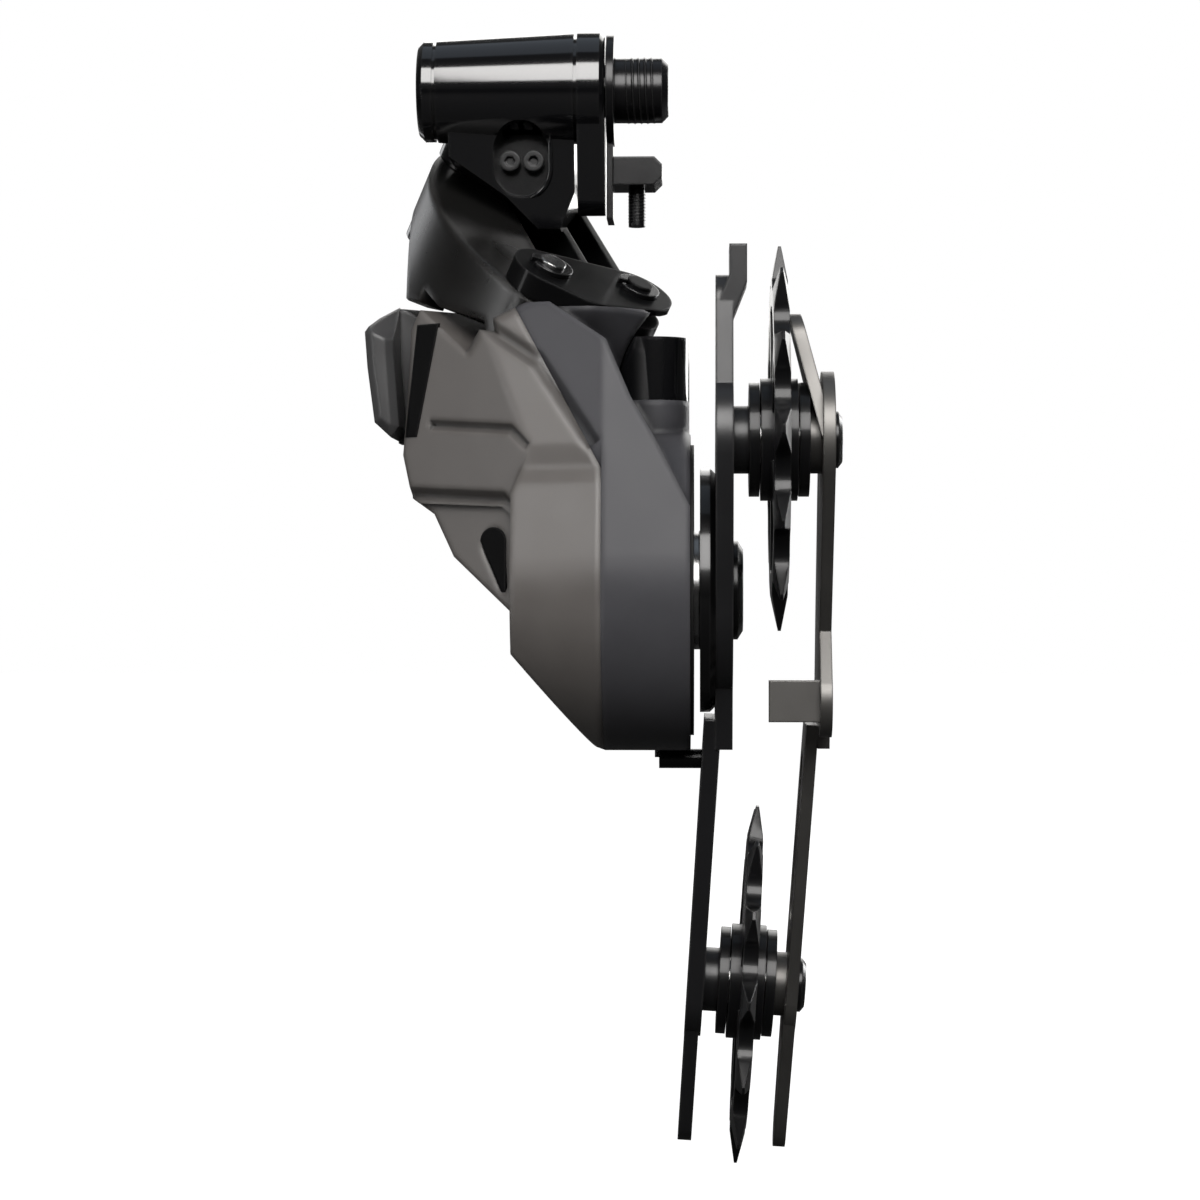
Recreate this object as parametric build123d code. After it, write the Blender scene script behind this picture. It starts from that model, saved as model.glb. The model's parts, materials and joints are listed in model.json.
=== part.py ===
from build123d import *
import math
import os

# Rear derailleur, millimetres.  Origin on the mounting bolt's axis, at the plane that seats on the
# hanger.  +X points inboard (towards the wheel), -Y to the front of the bicycle, +Z up.

# ---------------------------------------------------------------- driving dimensions
RUN_GAP = 0.05          # radial clearance of a shaft that turns in a hole
FACE_GAP = 0.2          # side clearance between pieces that turn past each other
OPEN_PIVOT_GAP = 0.25   # radial clearance at the linkage's open pivot
SWEEP_GAP = 0.8         # clearance round what the links sweep

# mounting bolt and barrel (axis X through the origin)
BOLT_THREAD_R = 5.0
BOLT_THREAD_LEN = 8.4
BOLT_TIP_CHAMFER = 1.0
BOLT_SHANK_R = 4.1
BOLT_HEAD_R = 6.2
BOLT_HEAD_LEN = 3.0
HEX_ACROSS_FLATS = 5.0
HEX_DEPTH = 2.4
BARREL_R_OUTER = 7.9
BARREL_R_INNER_END = 9.0
BARREL_X_OUTER = -27.6
BARREL_X_INNER = -6.2
BARREL_BORE_R = 6.7
END_CAP_LEN = 2.9
END_CAP_HOLE_R = 3.4
BUSHING_LEN = 3.6
SPRING_WIRE = 1.3
SPRING_TURNS = 5
FLANGE_R = 9.1
FLANGE_NECK_R = 8.2
FLANGE_NECK_LEN = 0.5
FLANGE_X_INNER = -1.4
FLANGE_TAIL_Z = -19.5
FLANGE_TAIL_W = 6.0
STOP_PLATE_T = 1.2
STOP_PLATE_R = 8.6
STOP_ARM_Z = -20.2
STOP_ARM_W = 8.0
STOP_ARM_SET_BACK = 0.2
SEAT_RELIEF_T = 0.4
SEAT_RELIEF_GAP = 0.2
STOP_TAB_TOP = -10.6
STOP_TAB_BOTTOM = -15.0
STOP_TAB_LEN = 7.6
STOP_TAB_W = 9.0
STOP_TAB_BEVEL = 1.2
STOP_SCREW_R = 1.3
STOP_SCREW_DROP = 6.0

# parallelogram
PIN_AXIS = Vector(0.4015, -0.4216, 0.8130).normalized()   # from the pins' lower ends to the upper
OUTER_TOP_PIN = Vector(-25.7, 17.0, -13.9)
LINK_REACH_X = 13.0     # the links at rest, from the top pins to the lower pins
LINK_REACH_Y = -33.0
LINK_SPACING = 15.0     # from the outer pins to the inner pins
LINK_SKEW_DEG = 92.0    # angle between the links and the line across the pins
PIN_R = 2.0
EYE_R = 5.2
EYE_H = 11.0
EAR_R = 5.7
EAR_T = 3.6
SLOT_R = 5.9
LINK_BUSH_R = 3.0
LINK_BUSH_LEN = 3.0
LINK_BAR_W = 7.0
SHIELD_REACH = 11.6
SHIELD_SKIRT = 5.6
SHIELD_OFFSET = 6.8
CLIP_R = 3.3
CLIP_T = 0.8
CLIP_GRIP = 0.4
CLIP_MOUTH = 1.6
PIN_END = 0.5
LINK_IN_DEG = 44.0
LINK_OUT_DEG = 20.0

# lower knuckle
P_Y = -12.0
P_Z = -78.0
DRUM_R = 24.3
DRUM_X_INNER = 11.9
DRUM_X_OUTER = -1.0
SHOULDER_X = -14.6
FRONT_TILT_DEG = 12.0   # the housing's front face leans back from the drum
FRONT_TAPER = 0.35      # how much the housing narrows for each mm outboard of the drum
FACET_RIDGE = [(-17.4, -42.4), (-11.6, -57.4)]     # where the outboard facet leaves the front face, as (X, Z)
FACET_BACK = (-32.0, -11.0, -52.0)                 # a third point of that facet
FACET_ROUND = 3.0
DRUM_EDGE_X = -14.4     # where the outboard facet stops against the flared drum
VALLEY = [(-23.0, -35.6), (-10.7, -44.1), (-2.2, -57.0)]     # the groove beside the seam, as (X, Z)
VALLEY_HALF_W = 1.5
VALLEY_DEPTH = 1.3
CREASE = [(-27.5, -53.0), (-14.7, -54.3), (-12.0, -57.0)]
CREASE_HALF_W = 0.8
CREASE_DEPTH = 0.9
STEP = [(-34.0, -63.3), (-16.0, -64.7), (-14.3, -66.7), (-14.3, -84.0)]
STEP_HALF_W = 1.3
STEP_DEPTH = 1.4
BAY_FLOOR = 0.9
SLANT_TOP_Z = -56.6
SLANT_LOW_Z = -62.6
SLANT_DEPTH = 1.2
SLANT_RISE = 2.5
POCKET_TOP = (-17.9, -71.4)
POCKET_TOP_R = 2.4
POCKET_TIP = (-16.4, -77.4)
POCKET_TIP_R = 0.9
FACET_POCKET_DEPTH = 3.0
GUARD_OUTLINE = [(-33.6, -33.8), (-36.0, -36.1), (-37.8, -38.6), (-37.4, -44.0),
                 (-36.3, -52.4), (-33.8, -54.7), (-32.6, -53.0), (-33.4, -42.0)]
GUARD_BEVEL = 1.2
GUARD_FRONT_Y = -13.0
GUARD_BACK_Y = 6.0
GUARD_WEB = (3.6, 5.0, 21.0)
GUARD_WEB_AT = (-32.0, 2.0, -44.5)
HOUSING_TOP_Z = -35.4
YOKE_SEAM_Z = -36.0      # level at which the fork is parted from the housing
HOUSING_X_OUTER = -32.0
HOUSING_BACK_Y = 8.0
HOUSING_BACK_TOP_Z = -44.0
HOUSING_CORE_Y = 2.0
AXLE_R = 6.0
AXLE_X_OUTER = -9.0
CAGE_BUSH_R = 7.6
CAGE_BUSH_LEN = 4.0
SPRING_POCKET_R = 15.0
SPRING_POCKET_DEPTH = 8.0
CAGE_SPRING_WIRE = 2.0
SEAL_R = 22.0
SEAL_T = 0.5

# cage and pulleys
CAGE_HUB_R = 18.5
CAGE_HUB_T = 2.3
OUTER_PLATE_X = 15.6
PLATE_T = 2.6
INNER_PLATE_T = 1.8
CHAIN_LINE_X = 24.9
PLATE_GAP = 12.4
GUIDE_Y = -25.0
GUIDE_Z = -55.9
TENSION_Y = 6.6
TENSION_Z = -140.0
CAGE_LEAN_DEG = 3.6
CAGE_LEAN_Z = -71.5
CAGE_FOLD_Z = -100.0
TEETH = 13
CHAIN_PITCH = 12.7
ROLLER_R = 3.95
TOOTH_T = 2.3
TOOTH_TIP = 1.9
PULLEY_RIM_R = 19.6
PULLEY_HUB_R = 9.0
PULLEY_HUB_W = 5.4
SPOKES = 5
SPOKE_W = 4.2
BEARING_R = 7.0
BEARING_W = 4.0
SLEEVE_R = 3.6
PULLEY_BOLT_R = 2.5
PULLEY_CAP_R = 8.4
PLATE_END_R = 10.5

os.makedirs("parts", exist_ok=True)


# ---------------------------------------------------------------- helpers
def rod_x(x0, x1, radius, y=0.0, z=0.0):
    """A round bar along X."""
    return Plane(origin=(x0, y, z), x_dir=(0, 1, 0), z_dir=(1, 0, 0)) * extrude(Circle(radius), x1 - x0)


def turned_x(points, y=0.0, z=0.0):
    """A turned solid about an axis along X, from (X, radius) points."""
    return Pos(0, y, z) * revolve(make_face(Polyline(*points, close=True)), Axis.X)


def ring_x(x0, x1, bore, radius, y=0.0, z=0.0):
    """A plain ring along X."""
    return rod_x(x0, x1, radius, y, z) - rod_x(x0, x1, bore, y, z)


def slab_x(sketch, x0, x1):
    """A flat piece across X, from a sketch drawn in (Y, Z)."""
    return Plane(origin=(x0, 0, 0), x_dir=(0, 1, 0), z_dir=(1, 0, 0)) * extrude(sketch, x1 - x0)


def prism_y(points, y0, y1):
    """A prism along Y, from (X, Z) points."""
    face = make_face(Polyline(*points, close=True))
    return Plane(origin=(0, y1, 0), x_dir=(1, 0, 0), z_dir=(0, -1, 0)) * extrude(face, y1 - y0)


def on_pin(sketch, pin, low, high):
    """A sketch drawn about a pin (x outboard, y along the links), between two levels on its axis."""
    return Plane(origin=pin + PIN_AXIS * low, x_dir=OUTBOARD, z_dir=PIN_AXIS) * extrude(sketch, high - low)


def turned(point, degrees):
    """A flat point turned about the origin."""
    a = math.radians(degrees)
    return (point[0] * math.cos(a) - point[1] * math.sin(a), point[0] * math.sin(a) + point[1] * math.cos(a))


def hull(centres, radii):
    """The outline round several circles."""
    circles = [Pos(*c) * Circle(r) for c, r in zip(centres, radii)]
    return make_hull(Sketch(children=circles).edges())


def coil_x(x0, x1, radius, wire, turns, y=0.0, z=0.0):
    """A torsion spring about an axis along X, of square wire."""
    pitch = (x1 - x0 - wire) / turns
    start = Plane(origin=(x0 + wire / 2, y, z), x_dir=(0, 1, 0), z_dir=(1, 0, 0))
    path = start * Helix(pitch, pitch * turns, radius)
    section = Plane(origin=path @ 0, x_dir=(1, 0, 0), z_dir=path % 0) * Rectangle(wire, wire)
    return sweep(section, path=path, is_frenet=True)


def save(shape, node):
    export_step(shape, f"parts/{node}.step")


# link directions, all square to the pins
LINK_REACH_Z = -(PIN_AXIS.X * LINK_REACH_X + PIN_AXIS.Y * LINK_REACH_Y) / PIN_AXIS.Z
LINK = Vector(LINK_REACH_X, LINK_REACH_Y, LINK_REACH_Z)
LINK_LEN = LINK.length
ALONG = LINK.normalized()
OUTBOARD = ALONG.cross(PIN_AXIS).normalized()
ACROSS_X = -LINK_SPACING * math.sin(math.radians(LINK_SKEW_DEG))
ACROSS_Y = LINK_SPACING * math.cos(math.radians(LINK_SKEW_DEG))
INNER_TOP_PIN = OUTER_TOP_PIN + OUTBOARD * ACROSS_X + ALONG * ACROSS_Y
OUTER_LOW_PIN = OUTER_TOP_PIN + LINK
INNER_LOW_PIN = INNER_TOP_PIN + LINK
EYE_TOP = EYE_H / 2
EAR_LOW = EYE_TOP + 0.15
EAR_TOP = EAR_LOW + EAR_T


# details placed from the sizes above
LINK_TRIM = [(-32.4, 0), (-32.4, -32.5), (-19.0, -37.5), (-19.0, -60), (20, -60), (20, 0)]   # seen from the front
SHIELD_CURVE = [(4.6, -2.2), (9.6, 8.0), (SHIELD_REACH, LINK_LEN * 0.45),
                (9.8, LINK_LEN - 9), (4.9, LINK_LEN + 1.8)]
SKIRT_TOP_END = 9.0
SKIRT_LOW_END = 15.0
NECK_FRONT = [(-25.8, -2), (BARREL_X_INNER, -2), (BARREL_X_INNER, -16), (-8.5, -21.5), (-12, -21.5),
              (-17, -16.5), (-25.8, -10.5)]
NECK_SIDE = [(-4.5, -5), (0, -22), (12, -22), (26, -16), (26, -8), (6, 3)]     # as (Y, Z)
POCKET_X = -14.5
POCKET_Z = -11.0
POCKET_W = 8.6
POCKET_H = 11.0
POCKET_BACK_Y = 1.0
LIMIT_SCREW_R = 1.6
LIMIT_SCREW_SPACING = 3.7
BOSS_X = 6.3
BOSS_Y = -13.0
BOSS_R = 5.4
BOSS_TOP = -40.0
BOSS_SEAM = -49.5
STOP_LUG_X = 9.0
STOP_TOUCH = 0.02       # what is left between a stop and the piece that rests on it
STOP_LUG_L = 5.4
STOP_LUG_W = 4.0
STOP_LUG_H = 1.6
STOP_PIN_R = 1.5
STOP_PIN_X = 7.0
STOP_PIN_IN = 0.4
STOP_PIN_Y = -4.2
STOP_PIN_Z = P_Z - DRUM_R - 1.7
HOUSING_OUTLINE = [(-8.9, HOUSING_TOP_Z), (-0.4, -41.3), (3.2, -49.8), (6.8, -56), (DRUM_X_INNER, -66),
                   (DRUM_X_INNER, P_Z - DRUM_R - 1), (DRUM_X_OUTER, P_Z - DRUM_R - 1),
                   (SHOULDER_X, -87.2), (SHOULDER_X, -81.3), (-23.7, -73), (-26.9, -66.5), (-30.5, -64),
                   (HOUSING_X_OUTER, -57.4), (-31, -45), (-30.5, HOUSING_TOP_Z)]
DRUM_BEVEL = 0.8
BOSS_GAP = 0.2
BAY_GAP = 0.3
DOOR_GAP = 0.15
DRIVE_BAY_AT = (-8.0, -13.5, -62.0)
DRIVE_BAY = (11.0, 12.0, 16.0)
BATTERY_BAY_X = -21.5
BATTERY_BAY_Z = -55.0
BATTERY_BAY = (13.0, 17.0, 15.0)
BATTERY_DOOR_T = 2.0
DOOR_HINGE_R = 1.7
DOOR_HINGE_PIN_R = 0.8
DOOR_HINGE_OUT = 0.9
DOOR_KNUCKLE_L = 6.0
BUTTON_X = -9.0
BUTTON_Z = -55.0
BUTTON_R = 2.6
BUTTON_PROUD = 0.8
BUTTON_DEPTH = 2.0
BUTTON_TRAVEL = 0.6
LENS_Z = -49.0
LENS_R = 1.2
LENS_DEPTH = 1.0
MOTOR_R = 4.2
MOTOR_SHIFT = 1.0
MOTOR_LEN = 10.0
CAP_OUT = 4.4
FINGER_JOG = 2.0
FINGER_JOG_Z = -36.0
FINGER_TOP_Z = -27.4
ARM_WINDOW_TOP = (-3.0, -108)
ARM_WINDOW_END = (3.4, -128)
INNER_KNEE = (-11.0, -84.0)
TAB_AT = (-19.0, -94.5)
TAB_REACH = 7.6
TAB_H = 6.2


# ---------------------------------------------------------------- mount
def mounting_bolt():
    """Hollow-headed bolt on which the barrel turns."""
    bolt = turned_x([
        (BARREL_X_OUTER - BOLT_HEAD_LEN / 2, 0), (BARREL_X_OUTER - BOLT_HEAD_LEN / 2, BOLT_HEAD_R),
        (BARREL_X_OUTER + BOLT_HEAD_LEN / 2, BOLT_HEAD_R), (BARREL_X_OUTER + BOLT_HEAD_LEN / 2, BOLT_SHANK_R),
        (0, BOLT_SHANK_R), (0, BOLT_THREAD_R),
        (BOLT_THREAD_LEN - BOLT_TIP_CHAMFER, BOLT_THREAD_R),
        (BOLT_THREAD_LEN, BOLT_THREAD_R - BOLT_TIP_CHAMFER), (BOLT_THREAD_LEN, 0)])
    head_x = BARREL_X_OUTER - BOLT_HEAD_LEN / 2
    hexagon = RegularPolygon(HEX_ACROSS_FLATS / 2, 6, major_radius=False)
    return bolt - slab_x(hexagon, head_x, head_x + HEX_DEPTH)


def stopper_plate():
    """Sheet ring on the bolt, with an arm and the tab that meets the hanger's stop."""
    arm = Pos(STOP_ARM_W / 4, STOP_ARM_Z / 2) * Rectangle(STOP_ARM_W, -STOP_ARM_Z)
    plate = slab_x(Circle(STOP_PLATE_R), -STOP_PLATE_T, 0) + slab_x(arm, -STOP_PLATE_T, -STOP_ARM_SET_BACK)
    plate -= rod_x(-STOP_PLATE_T, 0, BOLT_SHANK_R + RUN_GAP)
    plate -= rod_x(-SEAT_RELIEF_T, 0, BOLT_THREAD_R + SEAT_RELIEF_GAP)
    tab_h = STOP_TAB_TOP - STOP_TAB_BOTTOM
    tab = Box(STOP_TAB_LEN, STOP_TAB_W, tab_h, align=(Align.MIN, Align.CENTER, Align.MIN))
    tab = Pos(-STOP_ARM_SET_BACK, STOP_ARM_W / 4, STOP_TAB_BOTTOM) * tab
    inboard = tab.edges().filter_by(Axis.Y).group_by(Axis.X)[-1]
    return plate + chamfer(inboard, STOP_TAB_BEVEL)


def stop_screw():
    """Small set screw that hangs under the stopper's tab."""
    screw = Cylinder(STOP_SCREW_R, STOP_SCREW_DROP, align=(Align.CENTER, Align.CENTER, Align.MAX))
    return Pos(STOP_TAB_LEN * 0.45, STOP_ARM_W / 4, STOP_TAB_BOTTOM) * screw


# ---------------------------------------------------------------- bracket
def link_outline(shield):
    """Outline of a link about its top pin: a bar with two eyes, and the outer link's bulged side."""
    eyes = Circle(EYE_R) + Pos(0, LINK_LEN) * Circle(EYE_R)
    half = LINK_BAR_W / 2
    if not shield:
        return eyes + Pos(0, LINK_LEN / 2) * Rectangle(LINK_BAR_W, LINK_LEN)
    curve = Spline(*SHIELD_CURVE)
    back = Polyline(curve @ 1, (-half, LINK_LEN), (-half, 0), curve @ 0)
    return eyes + make_face([curve, back])


def link_fan(shield, at_top):
    """What a link sweeps about one of its pins, as a flat outline round that pin."""
    half = LINK_BAR_W / 2 + SWEEP_GAP
    end = 0 if at_top else LINK_LEN
    far = LINK_LEN if at_top else -LINK_LEN
    side = [(x + SWEEP_GAP, y - end) for x, y in SHIELD_CURVE] if shield else [(half, 0), (half, far)]
    if shield and not at_top:
        side.reverse()
    side[-1] = (max(side[-1][0], SHIELD_REACH if shield else half), far)
    out_turn, in_turn = (-LINK_OUT_DEG, LINK_IN_DEG) if at_top else (LINK_IN_DEG, -LINK_OUT_DEG)
    points = [turned(p, out_turn) for p in side]
    points += [turned((-half, far), in_turn), turned((-half, 0), in_turn)]
    return make_face(Polyline((0, 0), *points, close=True))


def cut_slots(body, outer_pin, inner_pin, at_top):
    """Open the slots of a fork round both of its pins."""
    for pin, shield in ((outer_pin, True), (inner_pin, False)):
        body -= on_pin(link_fan(shield, at_top) + Circle(SLOT_R), pin, -EAR_LOW, EAR_LOW)
    return body


def bracket_body():
    """Barrel with the neck and the fork that carries the top pins."""
    body = turned_x([(BARREL_X_OUTER, 0), (BARREL_X_OUTER, BARREL_R_OUTER),
                     (BARREL_X_INNER, BARREL_R_INNER_END), (BARREL_X_INNER, 0)])
    side = make_face(Polyline(*NECK_SIDE, close=True))
    neck = prism_y(NECK_FRONT, -6, 27) & slab_x(side, -30, 0)
    neck -= on_pin(Rectangle(90, 90), OUTER_TOP_PIN, -60, EAR_LOW)
    body += neck
    body += on_pin(fork_outline(-1), OUTER_TOP_PIN, -EAR_TOP, EAR_TOP)
    body = cut_slots(body, OUTER_TOP_PIN, INNER_TOP_PIN, True)
    for pin in (OUTER_TOP_PIN, INNER_TOP_PIN):
        body -= on_pin(Circle(PIN_R), pin, -EAR_TOP, EAR_TOP)
    body -= screw_pocket()
    return body - rod_x(BARREL_X_OUTER, BARREL_X_INNER, BARREL_BORE_R)


def fork_outline(side):
    """Outline of a fork about its outer pin, with a wall on one side (-1 behind, 1 in front)."""
    centres = [(0, 0), (ACROSS_X, ACROSS_Y), (ACROSS_X + 2, ACROSS_Y + 5 * side), (-5, 5.5 * side)]
    return hull(centres, [EAR_R, EAR_R, 3.2, 3.2])


def screw_pocket():
    """Pocket under the barrel, open to the front."""
    window = Pos(POCKET_X, POCKET_Z) * RectangleRounded(POCKET_W, POCKET_H, POCKET_W / 2 - 0.2)
    return Plane(origin=(0, POCKET_BACK_Y, 0), x_dir=(1, 0, 0), z_dir=(0, -1, 0)) * extrude(window, 20)


def bracket_flange():
    """Collar between the barrel and the stopper plate, with the tail that hangs from it."""
    start = BARREL_X_INNER
    collar = turned_x([(start, 0), (start, FLANGE_NECK_R), (start + FLANGE_NECK_LEN, FLANGE_NECK_R),
                       (start + FLANGE_NECK_LEN, FLANGE_R), (FLANGE_X_INNER - 0.8, FLANGE_R),
                       (FLANGE_X_INNER, FLANGE_R - 0.8), (FLANGE_X_INNER, 0)])
    tail = hull([(0, 0), (0, FLANGE_TAIL_Z + FLANGE_TAIL_W / 2)], [FLANGE_R - 0.8, FLANGE_TAIL_W / 2])
    collar += slab_x(tail, start + FLANGE_NECK_LEN, FLANGE_X_INNER)
    return collar - rod_x(start, FLANGE_X_INNER, BOLT_SHANK_R + RUN_GAP)


def barrel_end_cap():
    """Cap on the barrel's outboard end, with the hole for the hex key."""
    x1 = BARREL_X_OUTER
    x0 = x1 - END_CAP_LEN
    cap = turned_x([(x0, 0), (x0, BARREL_R_OUTER - 1.0), (x0 + 0.9, BARREL_R_OUTER - 0.1),
                    (x1 - 0.5, BARREL_R_OUTER - 0.1), (x1 - 0.5, BARREL_R_OUTER - 0.6),
                    (x1, BARREL_R_OUTER - 0.6), (x1, 0)])
    cap -= rod_x(x1 - BOLT_HEAD_LEN / 2 - FACE_GAP, x1, BARREL_BORE_R)
    return cap - rod_x(x0, x1, END_CAP_HOLE_R)


def barrel_bushings():
    """Two plain bushings between the barrel and the bolt."""
    start = BARREL_X_OUTER + BOLT_HEAD_LEN / 2 + FACE_GAP
    end = BARREL_X_INNER - BUSHING_LEN
    bore = BOLT_SHANK_R + RUN_GAP
    return Compound([ring_x(x, x + BUSHING_LEN, bore, BARREL_BORE_R) for x in (start, end)])


def barrel_spring():
    """Torsion spring that holds the bracket against its stop."""
    start = BARREL_X_OUTER + BOLT_HEAD_LEN / 2 + FACE_GAP + BUSHING_LEN
    end = BARREL_X_INNER - BUSHING_LEN
    radius = (BOLT_SHANK_R + BARREL_BORE_R) / 2
    return coil_x(start + FACE_GAP, end - FACE_GAP, radius, SPRING_WIRE, SPRING_TURNS)


def limit_screws():
    """Two small screws side by side in the pocket."""
    screws = []
    for offset in (-1, 1):
        x = POCKET_X + offset * LIMIT_SCREW_SPACING / 2
        shank = Plane(origin=(x, POCKET_BACK_Y, POCKET_Z), x_dir=(1, 0, 0), z_dir=(0, -1, 0))
        head = shank * extrude(Circle(LIMIT_SCREW_R), 2.2)
        slot = shank * Pos(0, 0, 1.4) * extrude(RegularPolygon(0.7, 6, major_radius=False), 0.8)
        screws.append(head - slot)
    return Compound(screws)


# ---------------------------------------------------------------- links and pins
def link_pin(pin, clip_low):
    """Pin through one fork, with the groove of its clip just outside the fork."""
    low = min(-EAR_TOP, clip_low - PIN_END)
    body = on_pin(Circle(PIN_R), pin, low, max(EAR_TOP, clip_low + CLIP_T + PIN_END))
    return body - on_pin(Circle(PIN_R) - Circle(PIN_R - CLIP_GRIP), pin, clip_low, clip_low + CLIP_T)


def pin_clips(pins, clip_low):
    """Circlips in the pins' grooves."""
    ring = Circle(CLIP_R) - Circle(PIN_R - CLIP_GRIP) - Pos(CLIP_R / 2, 0) * Rectangle(CLIP_R, CLIP_MOUTH)
    return Compound([on_pin(ring, pin, clip_low, clip_low + CLIP_T) for pin in pins])


def outer_link():
    """Outer link with its bulged outboard face, hollowed underneath."""
    link = on_pin(link_outline(True), OUTER_TOP_PIN, -EYE_TOP, EYE_TOP)
    inside = Rectangle(LINK_LEN, LINK_LEN - SKIRT_TOP_END - SKIRT_LOW_END, align=(Align.MIN, Align.MIN))
    skirt = link_outline(True) & Pos(SHIELD_OFFSET, SKIRT_TOP_END) * inside
    link += on_pin(skirt, OUTER_TOP_PIN, -EYE_TOP - SHIELD_SKIRT, -EYE_TOP)
    link &= prism_y(LINK_TRIM, -60, 60)
    bore = LINK_BUSH_R
    for y in (0, LINK_LEN):
        link -= on_pin(Pos(0, y) * Circle(bore), OUTER_TOP_PIN, -EYE_TOP, EYE_TOP)
    return link


def inner_link():
    """Inner link, a bar with ribs along its edges; its lower eye is the linkage's open pivot."""
    link = on_pin(link_outline(False), INNER_TOP_PIN, -EYE_TOP, EYE_TOP)
    web = Pos(0, LINK_LEN / 2) * SlotOverall(LINK_LEN - 2 * EYE_R - 3, LINK_BAR_W - 2.4, rotation=90)
    for low, high in ((1.2, EYE_TOP), (-EYE_TOP, -1.2)):
        link -= on_pin(web, INNER_TOP_PIN, low, high)
    for y in (0, LINK_LEN):
        link -= on_pin(Pos(0, y) * Circle(LINK_BUSH_R), INNER_TOP_PIN, -EYE_TOP, EYE_TOP)
    return link


def link_bushings(top_pin, low_gap):
    """Flanged-end bushings, two in each eye of a link."""
    rings = []
    for y, gap in ((0, RUN_GAP), (LINK_LEN, low_gap)):
        ring = Pos(0, y) * (Circle(LINK_BUSH_R) - Circle(PIN_R + gap))
        rings.append(on_pin(ring, top_pin, EYE_TOP - LINK_BUSH_LEN, EYE_TOP))
        rings.append(on_pin(ring, top_pin, -EYE_TOP, -EYE_TOP + LINK_BUSH_LEN))
    return Compound(rings)


# ---------------------------------------------------------------- lower knuckle
def below(z):
    """Everything near the knuckle under a level."""
    return Pos(0, 0, z) * Box(120, 120, 120, align=(Align.CENTER, Align.CENTER, Align.MAX))


def low_fork():
    """Fork round the lower pins, before it is parted from the housing."""
    body = on_pin(fork_outline(1), OUTER_LOW_PIN, -EAR_TOP, EAR_TOP)
    body = cut_slots(body, OUTER_LOW_PIN, INNER_LOW_PIN, False)
    for pin in (OUTER_LOW_PIN, INNER_LOW_PIN):
        body -= on_pin(Circle(PIN_R), pin, -EAR_TOP, EAR_TOP)
    return body


def lower_yoke():
    """The fork above its seam with the housing."""
    return low_fork() - below(YOKE_SEAM_Z)


def boss_cap():
    """Round cap on the housing's boss, beside the fork."""
    boss = Pos(BOSS_X, BOSS_Y, (BOSS_TOP + BOSS_SEAM) / 2) * Cylinder(BOSS_R, BOSS_TOP - BOSS_SEAM)
    boss = cut_slots(boss, OUTER_LOW_PIN, INNER_LOW_PIN, False)
    return boss - on_pin(fork_outline(1), OUTER_LOW_PIN, -EAR_TOP, EAR_TOP)


def housing_section(radius, x):
    """Section across X: the drum's round below, and a straight front that leans back from it above."""
    lean_back = math.radians(FRONT_TILT_DEG)
    touch_y = P_Y - radius * math.cos(lean_back)
    touch_z = P_Z + radius * math.sin(lean_back)
    top_y = touch_y + (HOUSING_TOP_Z - touch_z) * math.tan(lean_back)
    front = Line((top_y, HOUSING_TOP_Z), (touch_y, touch_z))
    middle = turned((-radius, 0), 35)
    under = ThreePointArc(front @ 1, (P_Y + middle[0], P_Z + middle[1]), (P_Y, P_Z - radius))
    rest = Polyline(under @ 1, (HOUSING_BACK_Y, P_Z - radius / 2), (HOUSING_BACK_Y, HOUSING_BACK_TOP_Z),
                    (HOUSING_CORE_Y, HOUSING_TOP_Z), front @ 0)
    return Plane(origin=(x, 0, 0), x_dir=(0, 1, 0), z_dir=(1, 0, 0)) * make_face([front, under, rest])


def facet_plane():
    """Plane of the housing's outboard facet, facing out."""
    first, second = (seen_on(front_plane(), *point) for point in FACET_RIDGE)
    third = Vector(*FACET_BACK)
    out = (third - first).cross(second - first).normalized()
    return Plane(origin=first, x_dir=(second - first).normalized(), z_dir=out)


def front_plane():
    """Plane of the flared front face, which touches the drum's flare along one line."""
    lean_back = math.radians(FRONT_TILT_DEG)
    out = Vector(-FRONT_TAPER, -math.cos(lean_back), math.sin(lean_back)).normalized()
    touch = (DRUM_X_OUTER, P_Y - DRUM_R * math.cos(lean_back), P_Z + DRUM_R * math.sin(lean_back))
    return Plane(origin=touch, x_dir=(0, math.sin(lean_back), math.cos(lean_back)), z_dir=out)


def seen_on(plane, x, z):
    """The point of a plane that lies at X, Z when seen from the front."""
    out = plane.z_dir
    y = plane.origin.Y - (out.X * (x - plane.origin.X) + out.Z * (z - plane.origin.Z)) / out.Y
    return Vector(x, y, z)


def groove(plane, points, half_width, depth):
    """A V-shaped groove along points seen from the front, cut into a plane face."""
    path = Polyline(*[seen_on(plane, x, z) for x, z in points])
    along = (path % 0).normalized()
    section = Plane(origin=path @ 0, x_dir=plane.z_dir.cross(along), z_dir=along)
    wedge = make_face(Polyline((-half_width, 0), (-half_width, depth), (half_width, depth), (half_width, 0),
                               (0, -depth), close=True))
    return sweep(section * wedge, path=path, transition=Transition.RIGHT)


def faceted(flared):
    """The flared shell with its outboard facet, which stops against the drum's flare."""
    corner_x, corner_z = FACET_RIDGE[1]
    drum = [(DRUM_EDGE_X, -120), (DRUM_EDGE_X, -64), (corner_x, corner_z), (20, corner_z), (20, -120)]
    outside = facet_plane() * Box(160, 160, 60, align=(Align.CENTER, Align.CENTER, Align.MIN))
    cut = flared - (outside - prism_y(drum, -60, 40))
    first, second = (seen_on(front_plane(), *point) for point in FACET_RIDGE)
    middle = (first + second) * 0.5
    ridge = min(cut.edges(), key=lambda edge: (edge.center() - middle).length)
    return fillet(ridge, FACET_ROUND)


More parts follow.
